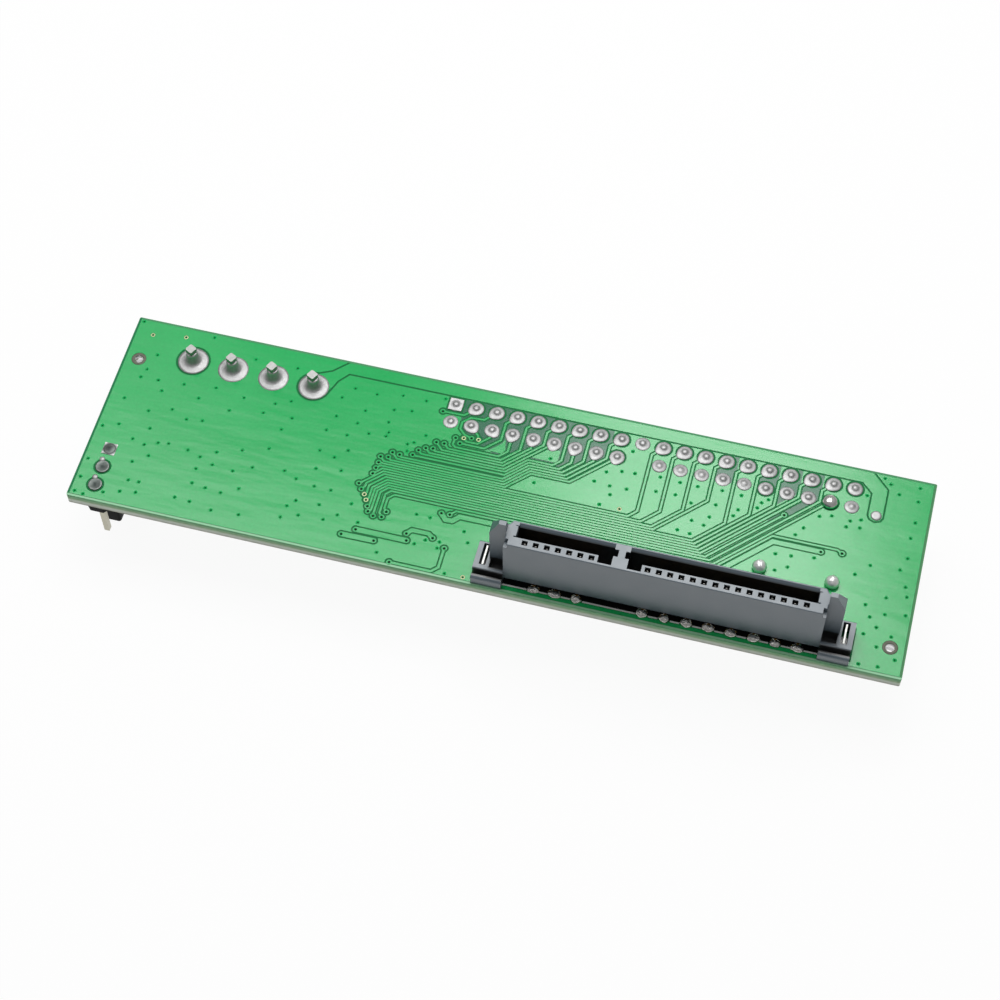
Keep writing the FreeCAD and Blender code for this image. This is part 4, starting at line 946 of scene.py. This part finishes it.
# Parts of the underside
# The bridge chip, its supply, clock and chip parts, all reflowed to the lower face. Chip parts have
# tinned ends, the yellow capacitors a printed band, and the chip a moulded mark at its first lead.
# Epoxy looks matt charcoal, the ceramics chalky, glaze and clear resin glassy, ferrite dull
lead_tin = bright_metal("tinned_lead_frame", "#b9b8b4", "#dddcd6", (0.25, 0.4), 0.2)
dress(moulding("black_epoxy_package", "#141516", "#202122", (0.5, 0.65), 0.1, 0.004),
      "epoxy_package", "bridge_chip_body", "regulator_body")
dress(lead_tin, "tinned_lead", "bridge_chip_leads", "regulator_leads", "tantalum_terminals")
dress(moulding("fired_ceramic", "#d9d6cc", "#e8e5db", (0.5, 0.6), 0.2, 0.003),
      "ceramic", "crystal_base")
dress(tinned_sheet, "tinned_steel", "crystal_lid")
dress(moulding("ochre_epoxy_moulding", "#c58a22", "#d79b31", (0.4, 0.5), 0.15, 0.003),
      "tantalum_moulding", "tantalum_capacitor_1", "tantalum_capacitor_2")
dress(moulding("sintered_titanate", "#a88a63", "#b99a72", (0.4, 0.5), 0.15, 0.003),
      "capacitor_ceramic", "ceramic_capacitors")
dress(moulding("resistor_glaze", "#0c0d0f", "#17181b", (0.15, 0.3), 0.3, 0.002),
      "resistor_glaze", "chip_resistors", "resistor_arrays")
dress(moulding("clear_lamp_resin", "#d9dcd2", "#eceee6", (0.1, 0.2), 0.3, 0.001),
      "lamp_resin", "status_led")
dress(moulding("sintered_ferrite", "#2b2b2d", "#3b3b3d", (0.55, 0.7), 0.12, 0.006),
      "ferrite", "ferrite_bead")
dress(tinned_brass, "tinned_brass", "ferrite_bead_wire")


def sleeve(bm, x, y, length, depth, height, soft=0.05):
    """A softened block that hangs from the lower face."""
    block(bm, (length, depth, height), (x, y, board_low - height / 2), soft)


bm = bmesh.new()
for sign in (-1, 1):
    for x, y in capacitors:
        sleeve(bm, x, y + 0.64 * sign, 0.84, 0.36, 0.82)
    for x in resistors:
        sleeve(bm, x, resistor_row + 0.67 * sign, 0.84, 0.3, 0.47)
    for x in arrays:
        for i in range(4):
            sleeve(bm, x + array_pitch * (i - 1.5), array_row + 0.68 * sign, 0.46, 0.28, 0.62, 0.04)
    sleeve(bm, lamp_x + 0.82 * sign, lamp_y, 0.4, 1.29, 0.2, 0.04)
piece("chip_part_ends", bm, lead_tin, "tinned_lead")
bm = bmesh.new()
for y in tantalum_rows:
    sleeve(bm, tantalum_x - 1.25, y, 0.6, 2.83, 2.065, 0.02)
brown_ink = moulding("printed_brown_band", "#54310c", "#653f14", (0.45, 0.55), 0.2, 0.002)
piece("tantalum_bands", bm, brown_ink, "tantalum_moulding")
polished = moulding("polished_epoxy_mark", "#1c1d1e", "#282a2b", (0.2, 0.3), 0.2, 0.002)
mark = ((0, -0.012), (0.38, -0.012), (0.46, -0.004), (0.5, 0.01), (0, 0.01))
turned("chip_mark", mark, [(chip_x - 3.9, lane_y + 3.9)], polished, "epoxy_package",
       z=board_low - chip_height)


# Camera
# It stands in front of and above the card, a little to the right, as for the photograph, and is
# tilted about its line of sight.
def aimed(place, target, roll=0.0):
    """The matrix of a camera or lamp that looks from a place at a target."""
    aim = (Vector(target) - Vector(place)).to_track_quat("-Z", "Y")
    return Matrix.Translation(place) @ aim.to_matrix().to_4x4() @ Matrix.Rotation(roll, 4, "Z")


camera_data = bpy.data.cameras.new("camera")
camera_data.lens, camera_data.sensor_width = 81.144, 36.0
camera_data.clip_start, camera_data.clip_end = 0.01, 20.0
camera = bpy.data.objects.new("camera", camera_data)
camera.matrix_world = aimed((0.035336, -0.134481, 0.234206), (0.000146, -0.001456, 0.0104),
                            math.radians(-0.47))
bpy.context.scene.collection.objects.link(camera)
bpy.context.scene.camera = camera


# Studio
# A white floor, a surround that is bright overhead and dim in front, a panel above the card and two
# small ones behind it for the sheen. The floor shows white and keeps the card's shadow.
floor_white, add, _ = start_material("studio_floor")
path = add("LightPath", {}).outputs
seen = add("Math", {0: path["Is Camera Ray"], 1: path["Is Glossy Ray"]}, operation="MAXIMUM")
seen = add("Math", {0: seen, 1: path["Is Transmission Ray"]}, operation="MAXIMUM")
floor_share = 0.94
share = add("Math", {0: seen, 1: floor_share}, operation="MULTIPLY")
paper = add("BsdfDiffuse", {"Color": linear("#f4f4f4")})
glow = add("Emission", {"Color": (1, 1, 1, 1), "Strength": 1.0})
close_material(floor_white, add("MixShader", {0: share, 1: paper, 2: glow}))
bm = bmesh.new()
bmesh.ops.create_grid(bm, x_segments=1, y_segments=1, size=3.0)
floor = mesh_object("floor", bm, floor_white)

world = bpy.data.worlds.new("studio")
world.use_nodes = True
world.node_tree.nodes.clear()
add = partial(add_node, world)
path = add("LightPath", {}).outputs
heading = add("TexCoord", {}).outputs["Generated"]
overhead = add("VectorMath", {0: heading, 1: (0.0, 0.45, 0.89)}, operation="DOT_PRODUCT")
room = add("MapRange", {0: overhead, 1: 0.5, 2: 0.88, 3: 0.3, 4: 0.45})
wash = add("MapRange", {0: overhead, 1: 0.3, 2: 0.85, 3: 0.04, 4: 0.6})
fill = add("Mix", {0: path["Is Glossy Ray"], 2: wash, 3: room})
shown = add("Math", {0: path["Is Camera Ray"], 1: path["Is Transmission Ray"]},
            operation="MAXIMUM")
level = add("Mix", {0: shown, 2: fill, 3: 1.0})
surround = add("Background", {0: (1, 1, 1, 1), 1: level})
add("OutputWorld", {"Surface": surround})
bpy.context.scene.world = world


def softbox(name, place, target, size, power):
    lamp_data = bpy.data.lights.new(name, "AREA")
    lamp_data.shape, lamp_data.size, lamp_data.size_y = "RECTANGLE", size[0], size[1]
    lamp_data.energy = power
    obj = bpy.data.objects.new(name, lamp_data)
    obj.matrix_world = aimed(place, target)
    bpy.context.scene.collection.objects.link(obj)


softbox("overhead_panel", (-0.04, 0.072, 0.27), (-0.04, 0.072, 0.0), (0.26, 0.144), 0.46)
softbox("back_panel", (0.008, 0.168, 0.27), (0.02, 0.0, 0.01), (0.085, 0.075), 0.15)
softbox("corner_panel", (-0.15, 0.18, 0.27), (-0.05, 0.01, 0.01), (0.06, 0.06), 0.012)

bpy.context.scene.view_settings.view_transform = "Standard"
